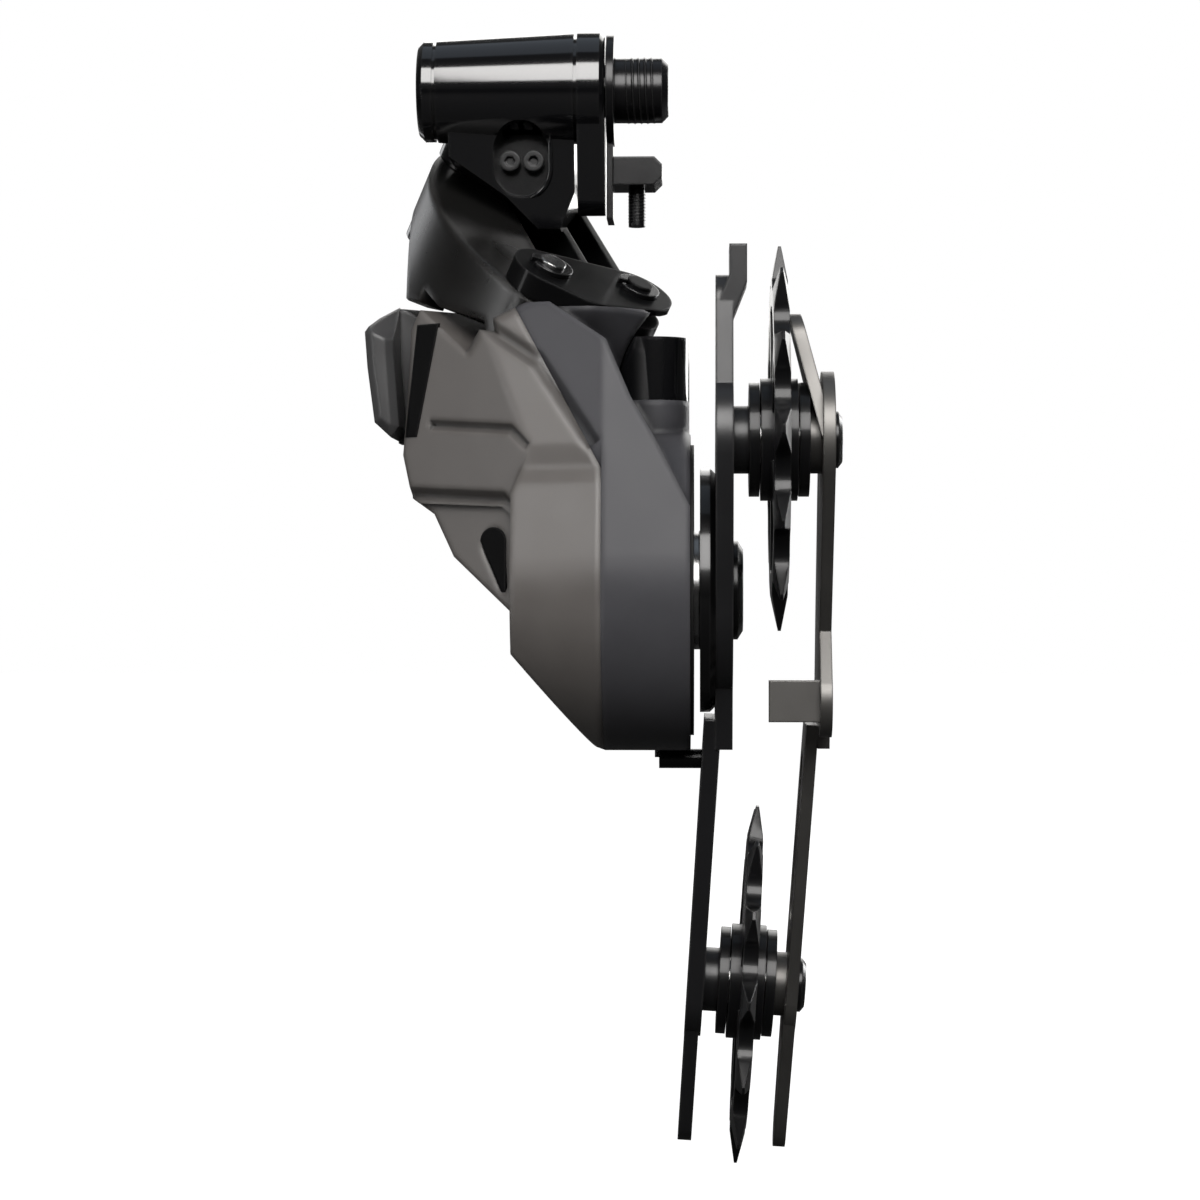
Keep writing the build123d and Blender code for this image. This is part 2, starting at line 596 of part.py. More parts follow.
def bay_cut():
    """Recess below the step of the facet."""
    plane = facet_plane()
    corners = [(-36, -64.4), (-16.2, -65.7), (-14.6, -67.4), (-14.6, -84), (-36, -84)]
    face = make_face(Polyline(*[plane.to_local_coords(seen_on(plane, x, z)) for x, z in corners], close=True))
    return plane * extrude(face, -BAY_FLOOR) + plane * extrude(face, 6)


def facet_pocket():
    """Drop-shaped pocket in the recess."""
    plane = facet_plane()
    centres = [plane.to_local_coords(seen_on(plane, *p)) for p in (POCKET_TOP, POCKET_TIP)]
    outline = hull([(c.X, c.Y) for c in centres], [POCKET_TOP_R, POCKET_TIP_R])
    return plane * extrude(outline, -FACET_POCKET_DEPTH) + plane * extrude(outline, 6)


def slant_cut():
    """Shallow slant between the upper front face and the drum's flare."""
    plane = front_plane()
    top = seen_on(plane, DRUM_X_OUTER, SLANT_TOP_Z)
    low = seen_on(plane, DRUM_X_OUTER, SLANT_LOW_Z)
    floor = (low.Y + SLANT_DEPTH, SLANT_LOW_Z + SLANT_RISE)
    corners = [(top.Y, top.Z), floor, (low.Y, low.Z), (low.Y - 6, low.Z), (top.Y - 6, top.Z)]
    section = make_face(Polyline(*corners, close=True))
    section = Plane(origin=(DRUM_X_OUTER, 0, 0), x_dir=(0, 1, 0), z_dir=(1, 0, 0)) * section
    side = Vector(-1, FRONT_TAPER / math.cos(math.radians(FRONT_TILT_DEG)), 0)
    return extrude(section, -DRUM_EDGE_X, dir=side)


def outer_link_sweep(spared):
    """What the outer link and its skirt sweep about the low pin, less a spared outline round the pin."""
    fan = link_fan(True, False) - spared
    skirt_in = math.hypot(SHIELD_OFFSET, SKIRT_LOW_END) - SWEEP_GAP
    skirt_low = -EYE_TOP - SHIELD_SKIRT - SWEEP_GAP
    sweep = on_pin(fan, OUTER_LOW_PIN, -EYE_TOP - SWEEP_GAP, 40)
    return sweep + on_pin(fan - Circle(skirt_in), OUTER_LOW_PIN, skirt_low, -EYE_TOP - SWEEP_GAP)


def housing_blank():
    """The whole lower housing before it is parted and hollowed."""
    outer_x = HOUSING_X_OUTER - 2
    outer_r = DRUM_R - (DRUM_X_OUTER - outer_x) * FRONT_TAPER
    flared = loft([housing_section(outer_r, outer_x), housing_section(DRUM_R, DRUM_X_OUTER)])
    flared = faceted(flared)
    flared -= slant_cut()
    flared -= groove(front_plane(), VALLEY, VALLEY_HALF_W, VALLEY_DEPTH)
    flared -= groove(facet_plane(), CREASE, CREASE_HALF_W, CREASE_DEPTH)
    flared -= bay_cut()
    flared -= groove(facet_plane(), STEP, STEP_HALF_W, STEP_DEPTH)
    flared -= facet_pocket()
    straight = extrude(housing_section(DRUM_R, DRUM_X_OUTER), DRUM_X_INNER - DRUM_X_OUTER)
    body = turned_x([(DRUM_X_OUTER, 0), (DRUM_X_OUTER, DRUM_R), (DRUM_X_INNER - DRUM_BEVEL, DRUM_R),
                     (DRUM_X_INNER, DRUM_R - DRUM_BEVEL), (DRUM_X_INNER, 0)], P_Y, P_Z)
    outline = prism_y(HOUSING_OUTLINE, -40, 20)
    body += outline & straight
    body += outline & flared
    body += on_pin(fork_outline(1), OUTER_LOW_PIN, -24, -EAR_TOP)
    body += Pos(BOSS_X, BOSS_Y, (BOSS_SEAM + P_Z) / 2) * Cylinder(BOSS_R, BOSS_SEAM - P_Z)
    lug = Box(STOP_LUG_L, STOP_LUG_W, DRUM_R - SPRING_POCKET_R, align=(Align.CENTER, Align.MIN, Align.MIN))
    body += Pos(STOP_LUG_X, STOP_PIN_Y + STOP_PIN_R + STOP_TOUCH, P_Z - DRUM_R - STOP_LUG_H) * lug
    yoke = fork_outline(1)
    body -= outer_link_sweep(yoke)
    body -= on_pin(yoke, OUTER_LOW_PIN, -EAR_TOP, 40)
    body -= on_pin(link_fan(False, False) + Circle(EAR_R), INNER_LOW_PIN, -EAR_LOW, 40)
    body -= on_pin(Circle(SLOT_R), OUTER_LOW_PIN, -EAR_LOW, 40)
    boss_room = Cylinder(BOSS_R + BOSS_GAP, 40, align=(Align.CENTER, Align.CENTER, Align.MIN))
    body += low_fork() & below(YOKE_SEAM_Z)
    return body - Pos(BOSS_X, BOSS_Y, BOSS_SEAM) * boss_room


def outer_guard():
    """Guard that stands outboard of the linkage's lower end, on a web from the housing."""
    guard = prism_y(GUARD_OUTLINE, GUARD_FRONT_Y, GUARD_BACK_Y)
    front = guard.edges().filter_by(lambda edge: edge.center().Y < GUARD_FRONT_Y + 0.1)
    guard = chamfer(front, GUARD_BEVEL)
    guard += Pos(*GUARD_WEB_AT) * Box(*GUARD_WEB)
    return guard - outer_link_sweep(Circle(SLOT_R))


def drive_bays(body):
    """Hollow a shell for the drive and for the battery behind it."""
    body -= rod_x(AXLE_X_OUTER - 0.6, DRUM_X_INNER, CAGE_BUSH_R, P_Y, P_Z)
    pocket = DRUM_X_INNER - SPRING_POCKET_DEPTH
    body -= ring_x(pocket, DRUM_X_INNER, CAGE_BUSH_R + 1.6, SPRING_POCKET_R, P_Y, P_Z)
    body -= Pos(*DRIVE_BAY_AT) * Box(*DRIVE_BAY)
    body -= Pos(*battery_bay_centre()) * Box(*BATTERY_BAY)
    body += door_hinge(DOOR_KNUCKLE_L / 2 + FACE_GAP, BATTERY_BAY[0] / 2)
    body += door_hinge(-BATTERY_BAY[0] / 2, -DOOR_KNUCKLE_L / 2 - FACE_GAP)
    y, z = door_axis()
    half = DOOR_KNUCKLE_L / 2 + FACE_GAP
    body -= rod_x(BATTERY_BAY_X - half, BATTERY_BAY_X + half, DOOR_HINGE_R + FACE_GAP, y, z)
    body -= door_pin()
    button_floor = HOUSING_BACK_Y - BUTTON_DEPTH - BUTTON_TRAVEL - FACE_GAP
    body -= rod_y(button_floor, HOUSING_BACK_Y + 1, BUTTON_R + RUN_GAP, BUTTON_X, BUTTON_Z)
    return body - status_lens()


def battery_bay_centre():
    return BATTERY_BAY_X, HOUSING_BACK_Y - BATTERY_BAY[1] / 2, BATTERY_BAY_Z


def door_axis():
    """Y and Z of the battery door's hinge."""
    return HOUSING_BACK_Y + DOOR_HINGE_OUT, BATTERY_BAY_Z - BATTERY_BAY[2] / 2 - DOOR_GAP - 0.4


def door_hinge(low, high):
    """One knuckle of the door's hinge, between two places along it, with the web that carries it."""
    y, z = door_axis()
    knuckle = rod_x(BATTERY_BAY_X + low, BATTERY_BAY_X + high, DOOR_HINGE_R, y, z)
    web = Box(high - low, 2 * DOOR_HINGE_R, DOOR_HINGE_R)
    return knuckle + Pos(BATTERY_BAY_X + (low + high) / 2, y - DOOR_HINGE_R, z - DOOR_HINGE_R / 2) * web


def rod_y(y0, y1, radius, x, z):
    """A round bar along Y."""
    return Plane(origin=(x, y0, z), x_dir=(1, 0, 0), z_dir=(0, 1, 0)) * extrude(Circle(radius), y1 - y0)


def parting(inboard):
    """The half-space on one side of the housing's parting line."""
    line = [(-16.5, -26), (-14.5, HOUSING_TOP_Z), (DRUM_X_OUTER, -60.4), (DRUM_X_OUTER, -120)]
    edge = 40 if inboard else -60
    return prism_y([*line, (edge, -120), (edge, -26)], -60, 40)


def battery():
    """Battery, a rounded block in its bay."""
    sx, sy, sz = (s - 2 * BAY_GAP for s in BATTERY_BAY)
    block = Box(sx, sy - BATTERY_DOOR_T - BAY_GAP, sz)
    block = fillet(block.edges().filter_by(Axis.Y), 2.0)
    x, y, z = battery_bay_centre()
    return Pos(x, y - BATTERY_DOOR_T / 2 - BAY_GAP / 2, z) * block


def battery_door():
    """Door over the battery, with its hinge knuckle along the lower edge."""
    sx, _, sz = BATTERY_BAY
    y, z = door_axis()
    plate = Box(sx - 2 * DOOR_GAP, BATTERY_DOOR_T, sz - 2 * DOOR_GAP)
    plate = Pos(BATTERY_BAY_X, HOUSING_BACK_Y - BATTERY_DOOR_T / 2, BATTERY_BAY_Z) * plate
    half = DOOR_KNUCKLE_L / 2
    plate -= rod_x(BATTERY_BAY_X - sx, BATTERY_BAY_X + sx, DOOR_HINGE_R + FACE_GAP, y, z)
    plate += rod_x(BATTERY_BAY_X - half, BATTERY_BAY_X + half, DOOR_HINGE_R, y, z)
    web = Box(DOOR_KNUCKLE_L, DOOR_HINGE_R, DOOR_HINGE_R)
    plate += Pos(BATTERY_BAY_X, y - DOOR_HINGE_R / 2, z + DOOR_HINGE_R / 2 + 0.6) * web
    return plate - rod_x(BATTERY_BAY_X - half, BATTERY_BAY_X + half, DOOR_HINGE_PIN_R + RUN_GAP, y, z)


def door_pin():
    """Pin of the battery door's hinge."""
    half = BATTERY_BAY[0] / 2
    return rod_x(BATTERY_BAY_X - half, BATTERY_BAY_X + half, DOOR_HINGE_PIN_R, *door_axis())


def function_button():
    """Push button on the housing's back."""
    return rod_y(HOUSING_BACK_Y - BUTTON_DEPTH, HOUSING_BACK_Y + BUTTON_PROUD, BUTTON_R, BUTTON_X, BUTTON_Z)


def status_lens():
    """Small lens above the button."""
    return rod_y(HOUSING_BACK_Y - LENS_DEPTH, HOUSING_BACK_Y, LENS_R, BUTTON_X, LENS_Z)


def drive_motor():
    """Motor, a can with its pinion end."""
    x, y, z = DRIVE_BAY_AT
    x += MOTOR_SHIFT
    low = z - DRIVE_BAY[2] / 2 + BAY_GAP
    can = Pos(x, y, low) * Cylinder(MOTOR_R, MOTOR_LEN, align=(Align.CENTER, Align.CENTER, Align.MIN))
    return can + Pos(x, y, low + MOTOR_LEN) * Cylinder(1.6, 2.0, align=(Align.CENTER, Align.CENTER, Align.MIN))


def gear_unit():
    """Reduction gear case above the motor."""
    x, y, z = DRIVE_BAY_AT
    sx, sy, sz = DRIVE_BAY
    low = z - sz / 2 + BAY_GAP + MOTOR_LEN + 2.0
    height = z + sz / 2 - BAY_GAP - low
    case = Pos(x, y, low + height / 2) * Box(sx - 2 * BAY_GAP, sy - 2 * BAY_GAP, height)
    return fillet(case.edges().filter_by(Axis.Z), 2.0)


def circuit_board():
    """Circuit board upright beside the motor."""
    x, y, z = DRIVE_BAY_AT
    sx, sy, sz = DRIVE_BAY
    return Pos(x - sx / 2 + 1.0, y, z - 3.0) * Box(1.2, sy - 2 * BAY_GAP, sz - 8.0)


def cage_bushings():
    """Two bushings for the cage's axle."""
    rings = []
    for x in (AXLE_X_OUTER, DRUM_X_INNER - CAGE_BUSH_LEN):
        rings.append(ring_x(x, x + CAGE_BUSH_LEN, AXLE_R + RUN_GAP, CAGE_BUSH_R, P_Y, P_Z))
    return Compound(rings)


def cage_spring():
    """Torsion spring round the axle, in the drum's pocket."""
    start = DRUM_X_INNER - SPRING_POCKET_DEPTH
    radius = (CAGE_BUSH_R + 1.6 + SPRING_POCKET_R) / 2
    return coil_x(start, DRUM_X_INNER, radius, CAGE_SPRING_WIRE, 2.5, P_Y, P_Z)


def drum_seal():
    """Seal ring between the drum and the cage hub."""
    return ring_x(DRUM_X_INNER, DRUM_X_INNER + SEAL_T, CAGE_HUB_R - 2, SEAL_R, P_Y, P_Z)


# ---------------------------------------------------------------- cage
def lean(shape):
    """Turn the lower part of the cage to its outboard lean."""
    return shape.rotate(Axis((CHAIN_LINE_X, 0, CAGE_LEAN_Z), (0, 1, 0)), CAGE_LEAN_DEG)


def below_fold(shape, overlap):
    return shape & Pos(0, 0, CAGE_FOLD_Z + overlap - 100) * Box(200, 200, 200)


def above_fold(shape, overlap):
    return shape & Pos(0, 0, CAGE_FOLD_Z - overlap + 100) * Box(200, 200, 200)


def plate_boss(x0, x1, y, z):
    return rod_x(x0, x1, SLEEVE_R + 1.4, y, z)


def outer_plate():
    """Outboard cage plate: from the finger and the guide pulley, round the hub, to the tension pulley."""
    x0 = OUTER_PLATE_X
    x1 = x0 + PLATE_T
    top = hull([(P_Y, P_Z), (GUIDE_Y, GUIDE_Z)], [CAGE_HUB_R - 1.5, 9.5])
    top += hull([(GUIDE_Y, GUIDE_Z), (GUIDE_Y + 1, FINGER_JOG_Z)], [6.0, 4.5])
    arm = hull([(P_Y, P_Z), (TENSION_Y, TENSION_Z)], [13.0, PLATE_END_R - 1.5])
    window = hull([ARM_WINDOW_TOP, ARM_WINDOW_END], [4.6, 3.4])
    upper = slab_x(top, x0, x1) + above_fold(slab_x(arm, x0, x1), 2.0)
    tab = prism_y([(x0, FINGER_JOG_Z - 1), (x0 + FINGER_JOG, FINGER_JOG_Z + 4),
                   (x0 + FINGER_JOG, FINGER_TOP_Z), (x1 + FINGER_JOG, FINGER_TOP_Z),
                   (x1 + FINGER_JOG, FINGER_JOG_Z + 3), (x1, FINGER_JOG_Z - 2)], GUIDE_Y - 3.5, GUIDE_Y + 5.5)
    upper += tab
    lower = lean(below_fold(slab_x(arm - window, x0, x1), 2.0))
    plate = upper + lower
    plate += plate_boss(x1, CHAIN_LINE_X - CAP_OUT, GUIDE_Y, GUIDE_Z)
    plate += lean(plate_boss(x1, CHAIN_LINE_X - CAP_OUT, TENSION_Y, TENSION_Z))
    plate -= rod_x(x0, x1 + 9, PULLEY_BOLT_R, GUIDE_Y, GUIDE_Z)
    plate -= lean(rod_x(x0, x1 + 9, PULLEY_BOLT_R, TENSION_Y, TENSION_Z))
    plate -= rod_x(STOP_PIN_X, x0 + STOP_PIN_IN, STOP_PIN_R, STOP_PIN_Y, STOP_PIN_Z)
    return plate - rod_x(x0, x1, AXLE_R - 2.0, P_Y, P_Z)


def inner_plate():
    """Inboard cage plate, with the tab bent over the chain between the pulleys."""
    x0 = CHAIN_LINE_X + PLATE_GAP / 2
    x1 = x0 + INNER_PLATE_T
    top = hull([(GUIDE_Y, GUIDE_Z), INNER_KNEE], [10.0, 7.5]) + hull([INNER_KNEE, TAB_AT], [7.5, 5.5])
    arm = hull([INNER_KNEE, (TENSION_Y, TENSION_Z)], [7.5, PLATE_END_R - 2.5])
    window = hull([(-2.6, -106), ARM_WINDOW_END], [3.4, 2.8])
    plate = slab_x(top, x0, x1) + above_fold(slab_x(arm, x0, x1), 2.0)
    tab = Box(TAB_REACH + INNER_PLATE_T, INNER_PLATE_T, TAB_H)
    plate += Pos((x0 - TAB_REACH + x1) / 2, TAB_AT[0] - 3.0, TAB_AT[1]) * tab
    plate += lean(below_fold(slab_x(arm - window, x0, x1), 2.0))
    plate += plate_boss(CHAIN_LINE_X + CAP_OUT, x0, GUIDE_Y, GUIDE_Z)
    plate += lean(plate_boss(CHAIN_LINE_X + CAP_OUT, x0, TENSION_Y, TENSION_Z))
    plate -= rod_x(x0 - 9, x1, PULLEY_BOLT_R, GUIDE_Y, GUIDE_Z)
    return plate - lean(rod_x(x0 - 9, x1, PULLEY_BOLT_R, TENSION_Y, TENSION_Z))


def cage_axle():
    """Axle of the cage, with the flange against the hub."""
    return turned_x([(AXLE_X_OUTER, 0), (AXLE_X_OUTER, AXLE_R), (DRUM_X_INNER + 0.3, AXLE_R),
                     (DRUM_X_INNER + 0.3, AXLE_R + 3), (OUTER_PLATE_X - CAGE_HUB_T, AXLE_R + 3),
                     (OUTER_PLATE_X - CAGE_HUB_T, 0)], P_Y, P_Z)


def cage_hub():
    """Dished disc that closes the drum and carries the outer plate."""
    x1 = OUTER_PLATE_X
    x0 = x1 - CAGE_HUB_T
    return turned_x([(x0, 0), (x0, CAGE_HUB_R), (x1 - 0.8, CAGE_HUB_R), (x1, CAGE_HUB_R - 0.8), (x1, 0)], P_Y, P_Z)


def axle_bolt():
    """Low bolt through the plate and hub into the axle."""
    x0 = OUTER_PLATE_X
    x1 = x0 + PLATE_T
    bolt = rod_x(x0, x1, AXLE_R - 2.0, P_Y, P_Z) + turned_x(
        [(x1, 0), (x1, 7.5), (x1 + 0.8, 7.5), (x1 + 1.6, 6.2), (x1 + 1.6, 0)], P_Y, P_Z)
    return bolt - slab_x(Pos(P_Y, P_Z) * RegularPolygon(3.0, 6, major_radius=False), x1 - 0.6, x1 + 1.6)


def cage_stop_pin():
    """Pin on the outer plate that rests against the drum's stop."""
    return rod_x(STOP_PIN_X, OUTER_PLATE_X + STOP_PIN_IN, STOP_PIN_R, STOP_PIN_Y, STOP_PIN_Z)


# ---------------------------------------------------------------- pulleys (built at the guide pulley's place)
def toothed_pulley():
    """Thirteen-tooth pulley with spokes, a rim and a hub."""
    pitch_r = CHAIN_PITCH / 2 / math.sin(math.pi / TEETH)
    step = 360 / TEETH
    tip_r = pitch_r + TOOTH_TIP
    points = []
    edges = []
    for i in range(TEETH):
        mid = i * step
        low = (pitch_r - ROLLER_R, 0)
        side = math.radians(58)
        flank = (pitch_r - ROLLER_R * math.cos(side), ROLLER_R * math.sin(side))
        tip = turned((tip_r, 0), step / 2 - 1.1)
        arc = [turned(p, mid) for p in ((flank[0], -flank[1]), low, flank)]
        edges.append(ThreePointArc(*arc))
        points.append((arc[0], arc[2], turned(tip, mid), turned((tip_r, 0), mid + step / 2 + 1.1)))
    for i in range(TEETH):
        nxt = points[(i + 1) % TEETH]
        _, root, near_tip, far_tip = points[i]
        edges += [Line(root, near_tip), Line(near_tip, far_tip), Line(far_tip, nxt[0])]
    blank = make_face(edges)
    ring = Circle(PULLEY_RIM_R) - Circle(PULLEY_HUB_R)
    for i in range(SPOKES):
        ring -= Rot(0, 0, i * 360 / SPOKES) * Pos(PULLEY_RIM_R / 2, 0) * Rectangle(PULLEY_RIM_R, SPOKE_W)
    half = TOOTH_T / 2
    body = slab_x(blank - ring, -half, half)
    body += ring_x(-PULLEY_HUB_W / 2, PULLEY_HUB_W / 2, BEARING_R, PULLEY_HUB_R)
    return body - rod_x(-PULLEY_HUB_W / 2, PULLEY_HUB_W / 2, BEARING_R)


def pulley_bearing():
    """Bearing ring in a pulley's hub."""
    return ring_x(-BEARING_W / 2, BEARING_W / 2, SLEEVE_R + RUN_GAP, BEARING_R)


def pulley_caps():
    """Dust caps on both sides of a pulley."""
    inner = PULLEY_HUB_W / 2 + FACE_GAP
    spans = ((inner, CAP_OUT), (-CAP_OUT, -inner))
    return Compound([ring_x(low, high, SLEEVE_R, PULLEY_CAP_R) for low, high in spans])


def pulley_sleeve():
    """Sleeve on the bolt that the bearing turns on."""
    return ring_x(-CAP_OUT, CAP_OUT, PULLEY_BOLT_R, SLEEVE_R)


def pulley_bolt():
    """Bolt from the inner plate through the pulley into the outer plate."""
    x0 = OUTER_PLATE_X - CHAIN_LINE_X
    x1 = PLATE_GAP / 2 + INNER_PLATE_T
    head = turned_x([(x1, 0), (x1, 4.2), (x1 + 0.7, 4.2), (x1 + 1.3, 3.4), (x1 + 1.3, 0)])
    bolt = rod_x(x0, x1, PULLEY_BOLT_R) + head
    return bolt - slab_x(RegularPolygon(1.5, 6, major_radius=False), x1 - 0.8, x1 + 1.3)


# ---------------------------------------------------------------- build
def build():
    save(mounting_bolt(), "mounting_bolt")
    save(stopper_plate(), "stopper_plate")
    save(stop_screw(), "stop_screw")
    save(bracket_body(), "bracket_body")
    save(bracket_flange(), "bracket_flange")
    save(barrel_end_cap(), "barrel_end_cap")
    save(barrel_bushings(), "barrel_bushings")
    save(barrel_spring(), "barrel_spring")
    save(limit_screws(), "limit_screws")
    under = -EAR_TOP - CLIP_T
    save(link_pin(OUTER_TOP_PIN, under), "outer_top_pin")
    save(link_pin(INNER_TOP_PIN, under), "inner_top_pin")
    save(pin_clips([OUTER_TOP_PIN, INNER_TOP_PIN], under), "top_pin_clips")
    save(link_pin(OUTER_LOW_PIN, EAR_TOP), "outer_low_pin")
    save(link_pin(INNER_LOW_PIN, EAR_TOP), "inner_low_pin")
    save(pin_clips([OUTER_LOW_PIN, INNER_LOW_PIN], EAR_TOP), "low_pin_clips")
    save(outer_link(), "outer_link")
    save(link_bushings(OUTER_TOP_PIN, RUN_GAP), "outer_link_bushings")
    save(inner_link(), "inner_link")
    save(link_bushings(INNER_TOP_PIN, OPEN_PIVOT_GAP), "inner_link_bushings")
    save(lower_yoke(), "lower_yoke")
    blank = drive_bays(housing_blank())
    save(blank & parting(True), "inner_housing")
    save(blank & parting(False), "outer_housing")
    save(outer_guard() - blank, "outer_guard")
    save(boss_cap(), "boss_cap")
    save(battery(), "battery")
    save(battery_door(), "battery_door")
    save(door_pin(), "door_pin")
    save(function_button(), "function_button")
    save(status_lens(), "status_lens")
    save(drive_motor(), "drive_motor")
    save(gear_unit(), "gear_unit")
    save(circuit_board(), "circuit_board")
    save(cage_bushings(), "cage_bushings")
    save(cage_spring(), "cage_spring")
    save(drum_seal(), "drum_seal")
    save(cage_axle(), "cage_axle")
    save(cage_hub(), "cage_hub")
    save(outer_plate(), "outer_plate")
    save(inner_plate(), "inner_plate")
    save(axle_bolt(), "axle_bolt")
    save(cage_stop_pin(), "cage_stop_pin")
    pieces = {"pulley": toothed_pulley(), "bearing": pulley_bearing(), "caps": pulley_caps(),
              "sleeve": pulley_sleeve(), "bolt": pulley_bolt()}
    for name, piece in pieces.items():
        save(Pos(CHAIN_LINE_X, GUIDE_Y, GUIDE_Z) * piece, f"guide_{name}")
        save(lean(Pos(CHAIN_LINE_X, TENSION_Y, TENSION_Z) * piece), f"tension_{name}")


build()
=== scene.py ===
import json
import math

import bmesh
import bpy
from mathutils import Matrix, Vector


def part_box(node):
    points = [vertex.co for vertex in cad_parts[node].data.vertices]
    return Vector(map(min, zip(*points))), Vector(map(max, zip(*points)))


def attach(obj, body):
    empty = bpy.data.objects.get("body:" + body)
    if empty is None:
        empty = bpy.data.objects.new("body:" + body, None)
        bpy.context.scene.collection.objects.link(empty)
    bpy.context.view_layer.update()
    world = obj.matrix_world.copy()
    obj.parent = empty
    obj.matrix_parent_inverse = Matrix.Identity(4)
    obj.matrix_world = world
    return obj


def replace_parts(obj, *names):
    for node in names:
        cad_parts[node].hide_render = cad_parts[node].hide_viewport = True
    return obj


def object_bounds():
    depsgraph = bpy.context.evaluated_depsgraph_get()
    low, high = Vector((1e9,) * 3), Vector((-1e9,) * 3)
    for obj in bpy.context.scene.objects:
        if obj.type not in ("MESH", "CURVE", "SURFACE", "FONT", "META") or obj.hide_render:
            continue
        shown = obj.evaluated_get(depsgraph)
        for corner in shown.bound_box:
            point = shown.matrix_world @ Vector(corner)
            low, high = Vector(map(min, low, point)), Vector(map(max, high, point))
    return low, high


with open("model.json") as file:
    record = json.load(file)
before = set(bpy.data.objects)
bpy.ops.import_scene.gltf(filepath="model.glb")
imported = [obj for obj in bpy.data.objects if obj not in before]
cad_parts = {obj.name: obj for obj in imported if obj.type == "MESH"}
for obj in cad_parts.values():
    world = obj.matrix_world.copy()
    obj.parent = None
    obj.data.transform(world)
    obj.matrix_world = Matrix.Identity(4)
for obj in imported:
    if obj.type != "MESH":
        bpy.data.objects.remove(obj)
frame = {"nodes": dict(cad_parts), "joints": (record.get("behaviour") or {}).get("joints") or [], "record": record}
cad_low, cad_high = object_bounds()
MM = 0.001

# ---------------------------------------------------------------- camera and studio
CAMERA_AT = Vector((0.0134, -0.4497, -0.0795))
CAMERA_LOOK = Vector((-0.0349, 0.9994, 0.0))
CAMERA_LENS = 86.4
CAMERA_SENSOR = 36.0
WORLD_STRENGTH = 0.03                 # what the world gives the object as a light
BACKDROP_GLOSS = 0.12                 # how bright glossy surfaces see the backdrop behind the object
FLOOR_COLOUR = (0.30, 0.30, 0.30)     # what the camera sees shaded
FLOOR_BOUNCE = (0.05, 0.05, 0.05)     # what the floor sends back on the object
FLOOR_LIFT = (0.90, 1.0)              # glow seen by the camera near the object and far from it
FLOOR_FADE = (0.25, 1.1)              # distances between which the glow rises
FLOOR_GAP = 0.0005
STUDIO_SIZE = 6.0
# name, place from the object's middle, size, watts, colour
LAMPS = [
    ("key", (0.08, -0.56, 0.41), (0.50, 0.42), 6.6, (1.0, 0.985, 0.972)),
    ("top", (0.0, 0.05, 0.62), (0.50, 0.45), 0.28, (0.75, 0.86, 1.0)),
    ("left_key", (-0.48, -0.48, 0.31), (0.22, 0.22), 0.8, (1.0, 0.99, 0.98)),
    ("left_rim", (-0.44, 0.56, 0.12), (0.26, 0.50), 0.5, (0.97, 0.98, 1.0)),
    ("left_strip", (-0.60, -0.20, 0.05), (0.08, 0.30), 0.6, (1.0, 1.0, 1.0)),
    ("right_rim", (0.50, 0.50, 0.12), (0.26, 0.50), 3.4, (1.0, 1.0, 1.0)),
    ("back_fill", (0.10, 0.62, 0.30), (0.50, 0.45), 1.6, (1.0, 0.99, 0.97)),
]


def nodes_of(material):
    material.use_nodes = True
    tree = material.node_tree
    tree.nodes.clear()
    return tree, tree.nodes, tree.links


def camera():
    data = bpy.data.cameras.new("camera")
    data.lens = CAMERA_LENS
    data.sensor_width = CAMERA_SENSOR
    data.clip_start = 0.01
    data.clip_end = 20
    obj = bpy.data.objects.new("camera", data)
    bpy.context.scene.collection.objects.link(obj)
    obj.location = CAMERA_AT
    obj.rotation_mode = "QUATERNION"
    obj.rotation_quaternion = CAMERA_LOOK.to_track_quat("-Z", "Y")
    bpy.context.scene.camera = obj


def softbox(name, at, aim, size, power, colour):
    data = bpy.data.lights.new(name, "AREA")
    data.shape = "RECTANGLE"
    data.size, data.size_y = size
    data.energy = power
    data.color = colour
    obj = bpy.data.objects.new(name, data)
    bpy.context.scene.collection.objects.link(obj)
    obj.location = at
    obj.rotation_mode = "QUATERNION"
    obj.rotation_quaternion = (aim - at).to_track_quat("-Z", "Y")


def mesh_object(name, build):
    """Object in the scene made of a finished bmesh."""
    mesh = bpy.data.meshes.new(name)
    build.to_mesh(mesh)
    build.free()
    obj = bpy.data.objects.new(name, mesh)
    bpy.context.scene.collection.objects.link(obj)
    return obj


def math_node(tree, operation, *inputs, clamp=False):
    """Math node fed by sockets or numbers; returns its output socket."""
    node = tree.nodes.new("ShaderNodeMath")
    node.operation = operation
    node.use_clamp = clamp
    for socket, value in zip(node.inputs, inputs):
        if isinstance(value, (int, float)):
            socket.default_value = value
        else:
            tree.links.new(value, socket)
    return node.outputs[0]


